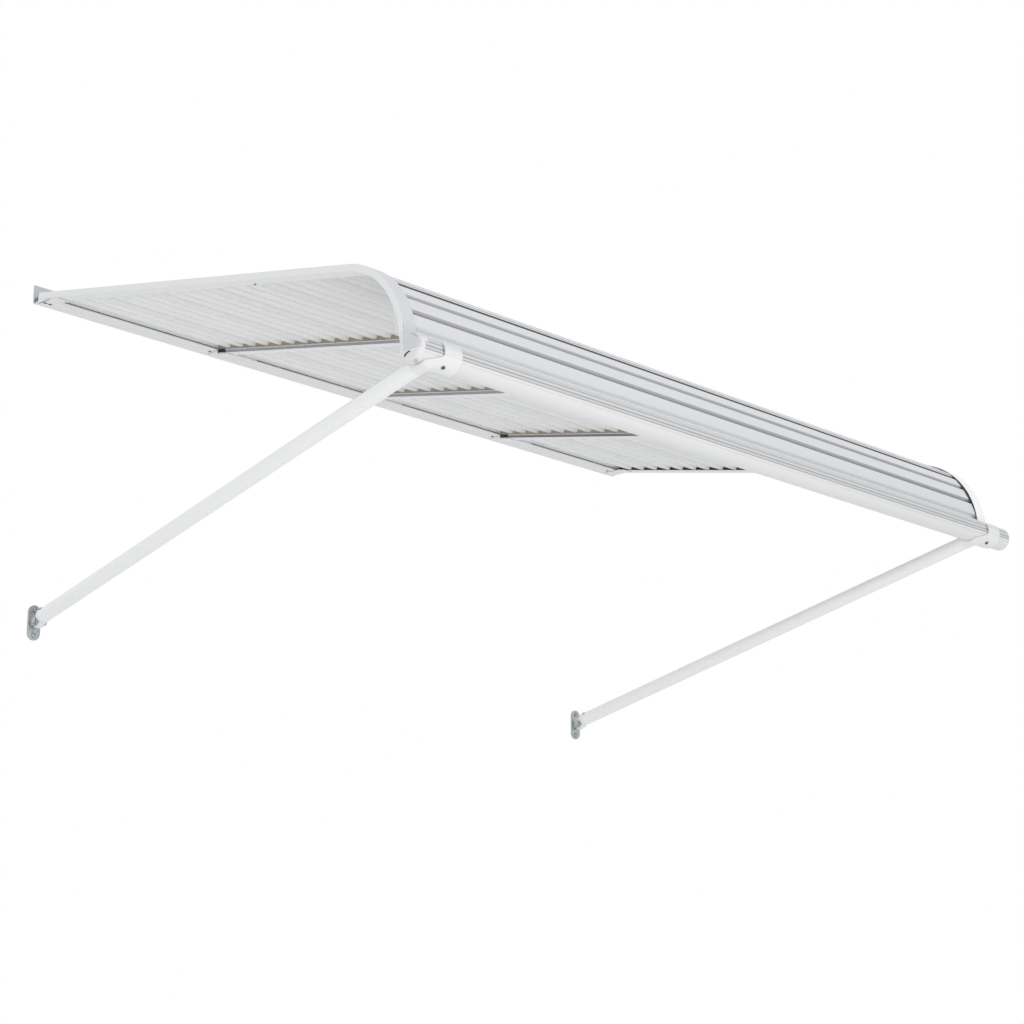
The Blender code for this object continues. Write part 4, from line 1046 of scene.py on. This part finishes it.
def build_pan(name, rear, pitch, **more):
    pan = grow(name + "_sheet", "roof_pan", "roof", half_width=PAN_REACH, rear_edge=rear,
               ribs=float(RIBS_PER_PAN), pitch=pitch, rows=PAN_ROWS, **more)
    fit(pan, "roof", name)
    offsets = pan.data.attributes["rib_offset"].data
    skins = pan.data.attributes["outer_skin"].data

    def coat(face):
        return rib_light_and_shade(offsets[face.index].value, skins[face.index].value > 0.5, face.center.z)

    # Painted shade and painted light across the ribs
    paint(pan, coat)


def build_seam_shadows():
    """Painted shadow: a black strip in the front pan's first groove, and a black wedge at the far rafter's
    lip.
    """
    middle = FRONT_PAN_START + FRONT_RIB_PITCH / 2
    outline = [guide(middle + shift, lift) for shift, lift in SEAM_SHADOW_CURVE]
    joint = profile("joint", outline, -PAN_REACH, PAN_REACH)
    stations = []
    for i in range(WEDGE_STEPS + 1):
        share = i / WEDGE_STEPS
        run = WEDGE_FROM + (WEDGE_TO - WEDGE_FROM) * share
        width = WEDGE_LEAST + WEDGE_WIDTH * math.sin(math.pi * share) ** WEDGE_CURVE
        stations.append((run, END_RAFTER_IN - width, END_RAFTER_IN + WEDGE_TUCK, *WEDGE_LIFTS))
    wedge = bent_ribbon("wedge", "dark_shadow", stations)
    fit(join_all("front_seam", [joint, wedge]), "dark_shadow")


def build_pans():
    for number in range(PAN_COUNT):
        build_pan(f"roof_pan_{number + 1}", PAN_START + number * PAN_COVER, RIB_PITCH)
    build_pan("front_pan", FRONT_PAN_START, FRONT_RIB_PITCH, lap=0.0)
    build_seam_shadows()


# Rafters

def rafter_runs(rear, low):
    """Runs of a rafter's sections; its rear end's lowest point, at a lift, is at an out."""
    first = (rear - ROOF_START_OUT) / math.cos(ROOF_SLOPE) - low * math.tan(ROOF_SLOPE)
    bend = [STRAIGHT_RUN + BEND_RUN * i / BEND_STEPS for i in range(BEND_STEPS + 1)]
    return [first] + bend + [RAFTER_END]


def build_end_rafter(name, side, face_shading):
    """Channel over the ends of the pans, open towards the middle, with its front face in the given look:
    painted shade on the left rafter, a painted highlight on the right one.
    """
    outer = side * HALF_WIDTH
    inner = side * END_RAFTER_IN
    web = outer - side * END_RAFTER_WALL
    roof = END_RAFTER_TOP - END_RAFTER_WALL
    section = [(outer, END_RAFTER_LOW), (inner, END_RAFTER_LOW), (inner, -GAP), (web, -GAP),
               (web, roof), (inner, roof), (inner, END_RAFTER_TOP), (outer, END_RAFTER_TOP)]
    runs = rafter_runs(HEADER_REAR + GAP, END_RAFTER_LOW)
    rafter = bent_section(name + "_channel", "white", rounded(section, CHANNEL_ROUND), runs)
    fit(rafter, "white", name)
    paint(rafter, lambda face: face_shading if face.normal.y < FRONT_FACING else None)


def build_mid_rafter(name, x, web_shading):
    """Flanged section with a thick web, whose two sides get painted shade between the flanges."""
    half = MID_RAFTER_WIDTH / 2
    web = MID_WEB_SEEN / 2
    low = -MID_RAFTER_DEPTH
    above = low + MID_LOW_FLANGE
    top = -MID_TOP_SEEN
    under = top - MID_TOP_FLANGE
    section = [(x - half, low), (x + half, low), (x + half, above), (x + web, above),
               (x + web, under), (x + half, under), (x + half, top), (x - half, top),
               (x - half, under), (x - web, under), (x - web, above), (x - half, above)]
    runs = rafter_runs(HEADER_FRONT + RAFTER_REAR_GAP, low)
    rafter = bent_section(name + "_section", "white", rounded(section, FINE_ROUND), runs)
    fit(rafter, "white", name)

    # Painted shade on both sides of the web
    def coat(face):
        beside = abs(abs(face.center.x - x) - web) < WEB_SHADE_REACH
        return web_shading if beside and abs(face.normal.x) > WEB_FACING else None

    paint(rafter, coat)


def build_rafter_screw():
    """Dark screw head under the left end rafter, near its inner edge."""
    down = Vector((0.0, math.sin(ROOF_SLOPE), -math.cos(ROOF_SLOPE)))
    out, z = guide(RAFTER_SCREW_RUN, END_RAFTER_LOW - GAP)
    place = Vector((-HALF_WIDTH + RAFTER_SCREW_X, -out, z))
    fit(pan_screw("rafter_screw", place, down, RAFTER_SCREW, RAFTER_SCREW_DEPTH), "dark_zinc")


def closure_strip(name, x, half, low):
    """Dark strip under the pans, cut to their ribs: painted shade in the gap between the pans and the rafter.
    """
    first = rafter_runs(HEADER_FRONT + RAFTER_REAR_GAP, low)[0]
    stations = []
    for i in range(CLOSURE_STEPS + 1):
        run = first + (RAFTER_END - first) * i / CLOSURE_STEPS
        stations.append((run, x - half, x + half, low, max(pan_lift(run) - GAP, low + CLOSURE_LEAST)))
    return bent_ribbon(name, "foam", stations)


def build_rafters():
    # Painted shade on the left end rafter's front face, a painted highlight on the right one's
    build_end_rafter("end_rafter_left", -1, "lip")
    build_end_rafter("end_rafter_right", 1, "bright")
    for number, x in enumerate(MID_RAFTERS, 1):
        # The last middle rafter's web gets darker painted shade
        build_mid_rafter(f"mid_rafter_{number}", x, "dark_web" if x == MID_RAFTERS[-1] else "web")
    build_rafter_screw()
    for number, x in enumerate(MID_RAFTERS, 1):
        # Painted shade: dark strips over the middle rafters
        strip = closure_strip(f"rafter_closure_{number}", x, CLOSURE_HALF, RUN_GAP - MID_TOP_SEEN)
        fit(strip, "foam", f"closure_strip_{number}")
    # Painted shadow: black strips under the pans along the end rafters
    ends = [closure_strip("closure", x, END_CLOSURE_HALF, 0.0) for x in (-END_CLOSURE_X, END_CLOSURE_X)]
    fit(join_all("end_closures", ends), "dark_shadow", slot="black_foam")


# Clips

def rear_clip_line(low):
    """Strip under the header that runs on under a rafter's lowest face, at a lift."""
    under = HEADER_BOTTOM - GAP
    lift = low - GAP
    drop_out = HEADER_FRONT + CLIP_STEP
    reach = drop_out + REAR_CLIP_REACH
    line = [(HEADER_FRONT - REAR_CLIP_BACK, under), (HEADER_FRONT - CLIP_THICK, under)]
    if roof_z(drop_out, lift) < under:
        line.append((drop_out, roof_z(drop_out, lift)))
    else:
        meet = ROOF_START_OUT + (roof_z(ROOF_START_OUT, lift) - under) / math.tan(ROOF_SLOPE)
        line.append((meet, under))
    line.append((reach, roof_z(reach, lift)))
    return line


def build_rear_marks():
    """Painted shade: dark marks under the header, and dark patches in the open rear ends of the middle
    rafters.
    """
    under = HEADER_BOTTOM - GAP - CLIP_THICK
    spots = [(-HALF_WIDTH + inset, width, under) for inset, width in CORNER_SHADE_MARKS]
    spots += [(x - SHADE_MARK_BEFORE, SHADE_MARK_WIDTH, HEADER_BOTTOM) for x in MID_RAFTERS]
    spots += [(HEADER_REACH - LAST_SHADE_MARK_INSET, SHADE_MARK_WIDTH, HEADER_BOTTOM)]
    back, front = SHADE_MARK_OUTS
    marks = []
    for x, width, level in spots:
        low = level - SHADE_MARK_DROP
        outline = [(back, low), (front, low), (front, level), (back, level)]
        marks.append(profile("mark", outline, x - width / 2, x + width / 2))
    outline = roof_quad(OPEN_END_OUTS, OPEN_END_LIFTS)
    marks += [profile("mark", outline, x - OPEN_END_X[0], x - OPEN_END_X[1]) for x in MID_RAFTERS]
    fit(join_all("rear_dark_marks", marks), "dark_shadow")


def build_corner_block():
    """Small block that fills the corner between the left rear clip and the end rafter."""
    low = HEADER_BOTTOM - GAP - CLIP_THICK + BLOCK_RAISE
    lift = END_RAFTER_LOW - GAP
    first, last = BLOCK_OUTS
    outline = [(first, low), (first, roof_z(first, lift)), (last, roof_z(last, lift)), (last, low)]
    block = profile("rear_corner_block", outline, -HALF_WIDTH, -HALF_WIDTH + BLOCK_WIDTH)
    fit(block, "white")


def build_clip(name, line, x, width):
    clip = profile(name + "_strip", strip_outline(line), x - width / 2, x + width / 2)
    fit(clip, "white", name)


def build_clips():
    rear = [(-HALF_WIDTH + CLIP_WIDTH / 2, END_RAFTER_LOW, CLIP_WIDTH)]
    rear += [(x, -MID_RAFTER_DEPTH, REAR_CLIP_WIDTH) for x in MID_RAFTERS]
    rear += [(HEADER_REACH, END_RAFTER_LOW, CLIP_WIDTH)]
    for number, (x, low, width) in enumerate(rear, 1):
        build_clip(f"rear_clip_{number}", rear_clip_line(low), x, width)
    build_rear_marks()
    build_corner_block()
    lift = -MID_RAFTER_DEPTH - GAP
    line = [guide(RAFTER_END - FOOT_CLIP_REACH * i / 3, lift) for i in (3, 2, 1, 0)]
    line += arc(BAR_CENTRE, BAR_SEAT, FOOT_CLIP_TOP, FOOT_CLIP_BACK)
    for number, x in enumerate(MID_RAFTERS, 1):
        build_clip(f"foot_clip_{number}", line, x, CLIP_WIDTH)


# Front bar

def bar_outline():
    """Round section with a slanted recess and fine grooves in front."""
    outline = [bar_place(BAR_RADIUS, BAR_RECESS_TOP)]
    for i in range(1, BAR_RECESS_STEPS + 1):
        share = i / BAR_RECESS_STEPS
        angle = BAR_RECESS_TOP + (BAR_RECESS_FOOT - BAR_RECESS_TOP) * share
        outline.append(bar_place(BAR_RADIUS - BAR_RECESS_DEPTH * share, angle))
    outline.append(bar_place(BAR_RADIUS, BAR_RECESS_FOOT))
    for middle in BAR_GROOVES:
        last = math.atan2(outline[-1][1] - BAR_Z, outline[-1][0] - BAR_OUT)
        first = middle + BAR_GROOVE_HALF
        outline += [bar_place(BAR_RADIUS, last + (first - last) * share) for share in (0.33, 0.67)]
        for turn, depth in BAR_GROOVE_CURVE:
            radius = BAR_RADIUS - depth * BAR_GROOVE_DEPTH
            outline.append(bar_place(radius, middle + turn * BAR_GROOVE_HALF))
    start = BAR_GROOVES[-1] - BAR_GROOVE_HALF
    end = BAR_RECESS_TOP - 2 * math.pi
    turns = [start + (end - start) * i / BAR_STEPS for i in range(1, BAR_STEPS)]
    return outline + [bar_place(BAR_RADIUS, turn) for turn in turns]


def neck_outline():
    """Upright channel on the bar's back that holds the front pan's lower edge."""
    front = CROWN_TOP + RUN_GAP
    back = PAN_LEVEL - RUN_GAP
    top = RAFTER_END + BAR_DROP - BAR_NECK_TOP
    floor = top + BAR_MOUTH_DEPTH
    low = RAFTER_END + BAR_DROP - BAR_NECK_LOW
    line = [(low, front + BAR_NECK_WALL), (top, front + BAR_NECK_WALL), (top, front), (floor, front)]
    line += [(floor, back), (top, back), (top, back - BAR_NECK_WALL), (low, back - BAR_NECK_WALL)]
    return [guide(run, lift) for run, lift in line]


def bar_coat(face):
    """Painted shade on the bar's front: dark lines over a darker band."""
    angle = bar_angle(face)
    if face.normal.y >= 0.0:
        return None
    if min(abs(angle - line) for line in BAR_LINES) < BAR_LINE_HALF:
        return "bar_line"
    return "bar_band" if BAR_BAND[0] < angle < BAR_BAND[1] else None


def build_bar():
    reach = HALF_WIDTH - BAR_NECK_INSET
    bar = profile("front_bar_profile", bar_outline(), BAR_LEFT, BAR_RIGHT)
    combine(bar, [profile_mesh("neck", rounded(neck_outline(), FINE_ROUND), -reach, reach)], "UNION")
    left = bar_middle(BAR_LEFT - BAR_CUT_REACH)
    right = bar_middle(BAR_RIGHT + BAR_CUT_REACH)
    combine(bar, [round_bar("bore", left, right, BAR_RADIUS - BAR_WALL)])
    # The bar takes the darker copy of the white paint: painted shade
    fit(bar, "bar", "front_bar")
    # Painted shade on the bar's front
    paint(bar, bar_coat)
    rings = [(along, BAR_RADIUS * share) for along, share in BAR_CAP_CURVE]
    cap = turned_mesh("cap", rings, bar_middle(BAR_RIGHT + GAP), ALONG)
    fit(as_object("bar_cap_right_plug", cap), "white", "bar_cap_right")


# Castings on the bar

def tang_outline():
    """Tang from the bar's back up behind an end rafter's foot."""
    tang_out = PAN_LEVEL - RUN_GAP - BAR_NECK_WALL - RUN_GAP
    tang_in = tang_out - FOOT_TANG_THICK
    tang = arc(BAR_CENTRE, BAR_SEAT, FOOT_BACK, TANG_TURNS[0])
    runs = [RAFTER_END - FOOT_TANG * i / TANG_STEPS for i in range(TANG_STEPS + 1)]
    tang += [guide(run, tang_out) for run in runs]
    tang += [guide(run, tang_in) for run in reversed(runs)]
    return tang + arc(BAR_CENTRE, BAR_SEAT + FOOT_WALL, TANG_TURNS[1], FOOT_BACK)


def shoe_outline():
    """Front cover from an end rafter's foot down on to the bar's upper front."""
    inside = END_RAFTER_TOP + RUN_GAP
    outside = inside + SHOE_THICK
    outline = [guide(RAFTER_END - SHOE_REACH, outside), guide(RAFTER_END - SHOE_REACH, inside)]
    outline.append(guide(RAFTER_END + RUN_GAP, inside))
    outline += arc(BAR_CENTRE, BAR_SEAT, FOOT_FRONT, SHOE_TIP)
    outline += arc(BAR_CENTRE, BAR_SEAT + FOOT_WALL, SHOE_TIP, FOOT_FRONT)
    outline.append(guide(RAFTER_END, outside))
    return outline


def build_left_foot():
    """Casting on the bar's left end: ring, front shoe, tang, cheek and domed end in one skin."""
    end = -HALF_WIDTH
    inner = -HALF_WIDTH + FOOT_WIDTH
    rim = BAR_SEAT + FOOT_WALL
    ring = arc(BAR_CENTRE, BAR_SEAT, -FOOT_BACK, FOOT_FRONT) + arc(BAR_CENTRE, rim, FOOT_FRONT, -FOOT_BACK)
    dome = [(along, rim - inset) for along, inset in FOOT_DOME_CURVE] + [(FOOT_DOME, rim)]
    behind = END_RAFTER_LOW - RUN_GAP
    cover = end + FOOT_COVER
    above = RAFTER_END - CHEEK_RISE
    cheek = [guide(above, behind), guide(above, END_RAFTER_TOP + SHOE_THICK),
             bar_place(BAR_RADIUS + FOOT_WALL, SHOE_TIP), bar_place(BAR_RADIUS, FOOT_CHEEK)]
    parts = [profile_mesh("ring", ring, end + FOOT_DOME - FOOT_OVERLAP, inner),
             profile_mesh("shoe", shoe_outline(), end, cover),
             profile_mesh("tang", tang_outline(), end, end + FOOT_TANG_WIDTH),
             profile_mesh("cheek", cheek, end, cover),
             turned_mesh("dome", dome, bar_middle(end + FOOT_DOME_SEAT), ALONG)]
    foot = cast("foot_casting_left", parts, *FOOT_CAST)
    above = RAFTER_END - FOOT_CUT_RISE
    below = RAFTER_END + FOOT_CUT_DEPTH
    inward = behind - FOOT_CUT_DEPTH
    back = [guide(above, inward), guide(above, behind), guide(below, behind), guide(below, inward)]
    combine(foot, [profile_mesh("back", back, end - BAR_CUT_REACH, end + FOOT_DOME - FOOT_CUT_SHORT)])
    # The casting takes the bar's darker copy of the white paint: painted shade
    fit(foot, "bar", "foot_collar_left", "bar_cap_left")

    # Painted shade on the casting's front edges
    def coat(face):
        front = face.center.z > FOOT_LIP_LOW and -face.center.y > FOOT_LIP_OUT
        edge = face.center.x < FOOT_EDGE or face.center.z > FOOT_LIP_HIGH
        return "lip" if front and edge else None

    paint(foot, coat)


def build_feet():
    build_left_foot()
    # Painted shadow: a black comma on the foot casting's side
    outline = [(BAR_OUT + out, BAR_Z + z) for out, z in NOTCH_SHADOW_CURVE]
    fit(profile("foot_slot", outline, -HALF_WIDTH, -HALF_WIDTH + NOTCH_SHADOW_DEPTH), "dark_shadow")
    spoke = bar_spoke(FOOT_SCREW_ANGLE)
    place = bar_middle(-HALF_WIDTH + FOOT_WIDTH / 2) + spoke * (BAR_SEAT + FOOT_WALL + GAP)
    screw = pan_screw("foot_screw_left", place, spoke, FOOT_SCREW, FOOT_WALL)
    fit(screw, "pale_zinc", "foot_collar_left_screw")
    right = profile("foot_casting_right", tang_outline(), HALF_WIDTH - FOOT_TANG_WIDTH, HALF_WIDTH)
    soften(right, FOOT_SOFT)
    fit(right, "white", "foot_collar_right")


# Arms and wall plates

def arm_line(index):
    """Wall end and bar end of an arm's centre line."""
    flat = math.hypot(BAR_OUT - ARM_START_OUT, BAR_Z - ARM_WALL_Z)
    pitch = math.atan2(BAR_Z - ARM_WALL_Z, BAR_OUT - ARM_START_OUT) - math.asin(ARM_BELOW_BAR / flat)
    reach = math.sqrt(flat ** 2 - ARM_BELOW_BAR ** 2)
    below = Vector((ARM_TOP_X[index], -ARM_START_OUT - reach * math.cos(pitch),
                    ARM_WALL_Z + reach * math.sin(pitch)))
    return Vector((ARM_PLATE_X[index], -ARM_START_OUT, ARM_WALL_Z)), below


def saddle_mesh(arm_x):
    """Shell round the bar, whose left edge sweeps out from the lip to full width."""
    loops = []
    for i in range(SADDLE_STEPS + 1):
        angle = SADDLE_FRONT + (SADDLE_BACK - SADDLE_FRONT) * i / SADDLE_STEPS
        share = (angle - SADDLE_SWEEP[0]) / (SADDLE_SWEEP[1] - SADDLE_SWEEP[0])
        share = min(max(share, 0.0), 1.0)
        ease = share * share * (3.0 - 2.0 * share)
        left = arm_x + SADDLE_LIP_LEFT + (SADDLE_LEFT - SADDLE_LIP_LEFT) * ease
        right = arm_x + SADDLE_RIGHT
        outer = BAR_SEAT + SADDLE_WALL
        corners = ((left, BAR_SEAT), (right, BAR_SEAT), (right, outer), (left, outer))
        loops.append([bar_middle(x) + bar_spoke(angle) * radius for x, radius in corners])
    return skin_mesh("saddle", loops)


def build_saddle(side, x, top, axis, setback):
    """Casting round the bar with a flared nose on to the arm's tube, and its screw."""
    body = f"arm_{side}"
    flare = [(setback * share, ARM_RADIUS + more) for share, more in NOSE_CURVE]
    flare.append((setback + NOSE_DEPTH, ARM_RADIUS + NOSE_FLARE))
    nose = turned_mesh("nose", flare, top + axis * GAP, axis)
    saddle = cast(f"arm_saddle_{side}", [saddle_mesh(x), nose], *SADDLE_CAST)
    combine(saddle, [drill(bar_middle(x), CUT_ACROSS, BAR_SEAT, SADDLE_STEPS)])
    spoke = bar_spoke(SADDLE_SCREW_ANGLE)
    spot = bar_middle(x + SADDLE_SCREW_X)
    start = spot + spoke * BAR_RADIUS
    end = spot + spoke * (BAR_SEAT + DRILL_REACH)
    combine(saddle, [round_bar("drill", start, end, SADDLE_SCREW_HOLE, sides=DRILL_SIDES)])
    fit(saddle, "white", f"arm_hook_{side}", body=body)

    # Painted shade over the saddle's top, darker higher up
    def coat(face):
        angle = bar_angle(face)
        if face.center.x <= x or not -SADDLE_BAND <= angle < math.pi / 2:
            return None
        return "crown" if angle >= SADDLE_BAND else "bar"

    paint(saddle, coat)
    place = spot + spoke * (BAR_SEAT + SADDLE_WALL + GAP)
    screw = pan_screw(f"saddle_screw_{side}", place, spoke, SADDLE_SCREW, SADDLE_WALL)
    fit(screw, "dark_zinc", f"arm_hook_{side}_screw", body=body)


def build_arm_end(side, start, axis, swivel):
    """Plug in the tube's lower end with a tongue that turns between the plate's ears."""
    across = Vector((0.0, axis.z, -axis.y)).normalized()
    cap = start - axis * (GAP + ARM_CAP_THICK / 2)
    low = cap - across * ARM_RADIUS * TONGUE_CHORD[0]
    high = cap + across * ARM_RADIUS * TONGUE_CHORD[1]
    outline = arc((PIVOT_OUT, PIVOT_Z), TONGUE_RADIUS, *TONGUE_TURNS)
    outline += [(-low.y, low.z), (-high.y, high.z)]
    half = TONGUE_THICK / 2
    tongue = profile_mesh("tongue", outline, swivel.x - half, swivel.x + half)
    disc = round_bar("disc", start - axis * (GAP + ARM_CAP_THICK), start - axis * GAP, ARM_RADIUS)
    end = cast(f"arm_fitting_{side}", [tongue, disc], *ARM_END_CAST)
    combine(end, [drill(swivel, CUT_ACROSS, PIVOT_HOLE, PIVOT_HOLE_SIDES)])
    fit(end, "white", f"arm_end_{side}", body=f"arm_{side}")


def build_arm(side, index):
    body = f"arm_{side}"
    start, below = arm_line(index)
    axis = (below - start).normalized()
    setback = math.sqrt((BAR_SEAT + SADDLE_WALL + GAP) ** 2 - (ARM_BELOW_BAR - ARM_RADIUS) ** 2)
    top = below - axis * setback
    swivel = Vector((start.x, -PIVOT_OUT, PIVOT_Z))
    pipe = round_bar("tube", start, top + axis * ARM_TUBE_ENTRY, ARM_RADIUS, ARM_RADIUS - ARM_WALL)
    tube = as_object(f"arm_tube_{side}_pipe", pipe)
    build_saddle(side, below.x, top, axis, setback)
    build_arm_end(side, start, axis, swivel)
    spoke = Vector((-math.sin(ARM_SCREW_LEAN), 0.0, math.cos(ARM_SCREW_LEAN)))
    spoke = (spoke - axis * spoke.dot(axis)).normalized()
    spot = start + axis * ARM_SCREW_RISE
    inside = spot + spoke * ARM_SCREW_START
    hole = round_bar("drill", inside, spot + spoke * DRILL_REACH, ARM_SCREW_HOLE, sides=DRILL_SIDES)
    combine(tube, [hole])
    # The tube takes the lighter copy of the white paint: painted light
    fit(tube, "arm", f"arm_tube_{side}", body=body)
    place = spot + spoke * (ARM_RADIUS + GAP)
    screw = pan_screw(f"fitting_screw_{side}", place, spoke, ARM_SCREW, ARM_WALL)
    fit(screw, "zinc", f"arm_end_screw_{side}", body=body)
    build_plate(side, swivel)


def build_plate(side, swivel):
    """Wall plate with two ears, its two wall screws, and the pivot bolt and nut."""
    body = f"plate_{side}"
    radius = PLATE_WIDTH / 2
    straight = PLATE_HEIGHT / 2 - radius
    rim = arc((swivel.x, swivel.z + straight), radius, 0.0, math.pi, PLATE_STEP)
    rim += arc((swivel.x, swivel.z - straight), radius, math.pi, 2 * math.pi, PLATE_STEP)
    blank = skin_mesh("plate", [[(x, y, z) for x, z in rim] for y in (0.0, -PLATE_THICK)])
    plate = as_object(f"wall_plate_{side}_stamping", blank)
    ear_in = TONGUE_THICK / 2 + RUN_GAP
    ear_out = ear_in + EAR_THICK
    ear = arc((PIVOT_OUT, PIVOT_Z), EAR_RADIUS, math.radians(-90.0), math.radians(90.0))
    ear += [(PLATE_THICK / 2, PIVOT_Z + EAR_RADIUS), (PLATE_THICK / 2, PIVOT_Z - EAR_RADIUS)]
    ears = [profile_mesh("ear", ear, swivel.x - ear_out, swivel.x - ear_in),
            profile_mesh("ear", ear, swivel.x + ear_in, swivel.x + ear_out)]
    combine(plate, ears, "UNION")
    half = PLATE_HOLE_SPACING / 2
    cuts = [drill(swivel, CUT_ACROSS, PIVOT_HOLE, PIVOT_HOLE_SIDES)]
    cuts += [wall_drill(swivel.x, swivel.z + rise) for rise in (half, -half)]
    combine(plate, cuts)
    soften(plate, PLATE_SOFT)
    fit(plate, "zinc", f"wall_plate_{side}", body=body)
    first = (swivel.x, -PLATE_THICK - GAP, swivel.z - half)
    screws = wall_screws(f"plate_screws_{side}", first, (0.0, 0.0, PLATE_HOLE_SPACING), 2, PLATE_THICK)
    fit(screws, "zinc", f"plate_screw_{side}_top", f"plate_screw_{side}_bottom", body=body)
    grip = ear_out + GAP
    place = swivel - ALONG * grip
    bolt = pan_screw(f"pivot_screw_{side}", place, -ALONG, PIVOT_BOLT, 2 * grip + PIVOT_BOLT_TIP, False)
    fit(bolt, "zinc", f"pivot_bolt_{side}", body=body)
    nut = turned_mesh("nut", PIVOT_NUT, swivel + ALONG * grip, ALONG, 6, ring=True)
    fit(as_object(f"pivot_nut_{side}_hex", nut), "zinc", f"pivot_nut_{side}", body=body)


# Studio

def build_world():
    """White backdrop for the camera and reflections, and a dimmer cool light on the object."""
    world = bpy.data.worlds.new("studio")
    bpy.context.scene.world = world
    world.use_nodes = True
    tree = world.node_tree
    tree.nodes.clear()
    path = add_node(tree, "ShaderNodeLightPath").outputs
    seen = add_node(tree, "ShaderNodeBackground", {"Color": (1.0, 1.0, 1.0, 1.0), "Strength": 1.0})
    lit = add_node(tree, "ShaderNodeBackground", {"Color": LIT_COLOUR, "Strength": LIT_STRENGTH})
    shown = maths(tree, "MAXIMUM", path["Is Camera Ray"], path["Is Glossy Ray"])
    shown = maths(tree, "MAXIMUM", shown, path["Is Transmission Ray"])
    mix = add_node(tree, "ShaderNodeMixShader", {0: shown, 1: lit.outputs[0], 2: seen.outputs[0]})
    add_node(tree, "ShaderNodeOutputWorld", {"Surface": mix.outputs[0]})


def build_floor():
    bm = bmesh.new()
    bmesh.ops.create_grid(bm, x_segments=1, y_segments=1, size=FLOOR_SIZE)
    bm.transform(Matrix.Translation((0.0, -1.0, FLOOR_Z)))
    floor = as_object("studio_floor", keep_mesh("studio_floor", bm))
    floor.data.materials.append(make_plain("floor_paper", (0.86, 0.86, 0.86), 0.8))


def add_lamp(name, place, target, size, power, colour):
    data = bpy.data.lights.new(name, "AREA")
    data.shape = "SQUARE"
    data.size = size
    data.energy = power
    data.color = colour
    lamp = as_object(name, data)
    lamp.location = place
    lamp.rotation_euler = (Vector(target) - Vector(place)).to_track_quat("-Z", "Y").to_euler()
    lamp.visible_camera = False


def build_camera():
    data = bpy.data.cameras.new("photo_camera")
    data.lens = CAMERA_LENS
    data.sensor_width = 36.0
    data.clip_end = 100.0
    camera = as_object("photo_camera", data)
    camera.location = CAMERA_PLACE
    ahead = Vector((math.sin(CAMERA_TURN) * math.cos(CAMERA_PITCH),
                    math.cos(CAMERA_TURN) * math.cos(CAMERA_PITCH), math.sin(CAMERA_PITCH)))
    roll = Matrix.Rotation(CAMERA_ROLL, 3, "Z")
    camera.rotation_euler = (ahead.to_track_quat("-Z", "Y").to_matrix() @ roll).to_euler()
    bpy.context.scene.camera = camera


def build_studio():
    bpy.context.scene.view_settings.view_transform = "Standard"
    build_world()
    build_floor()
    for name, place, target, size, power, colour in LAMPS:
        add_lamp(name, place, target, size, power, colour)
    build_camera()


LOOKS = make_looks()
TREES = make_trees()
build_rail()
build_header()
build_pans()
build_rafters()
build_clips()
build_bar()
build_feet()
build_arm("left", 0)
build_arm("right", 1)
build_studio()
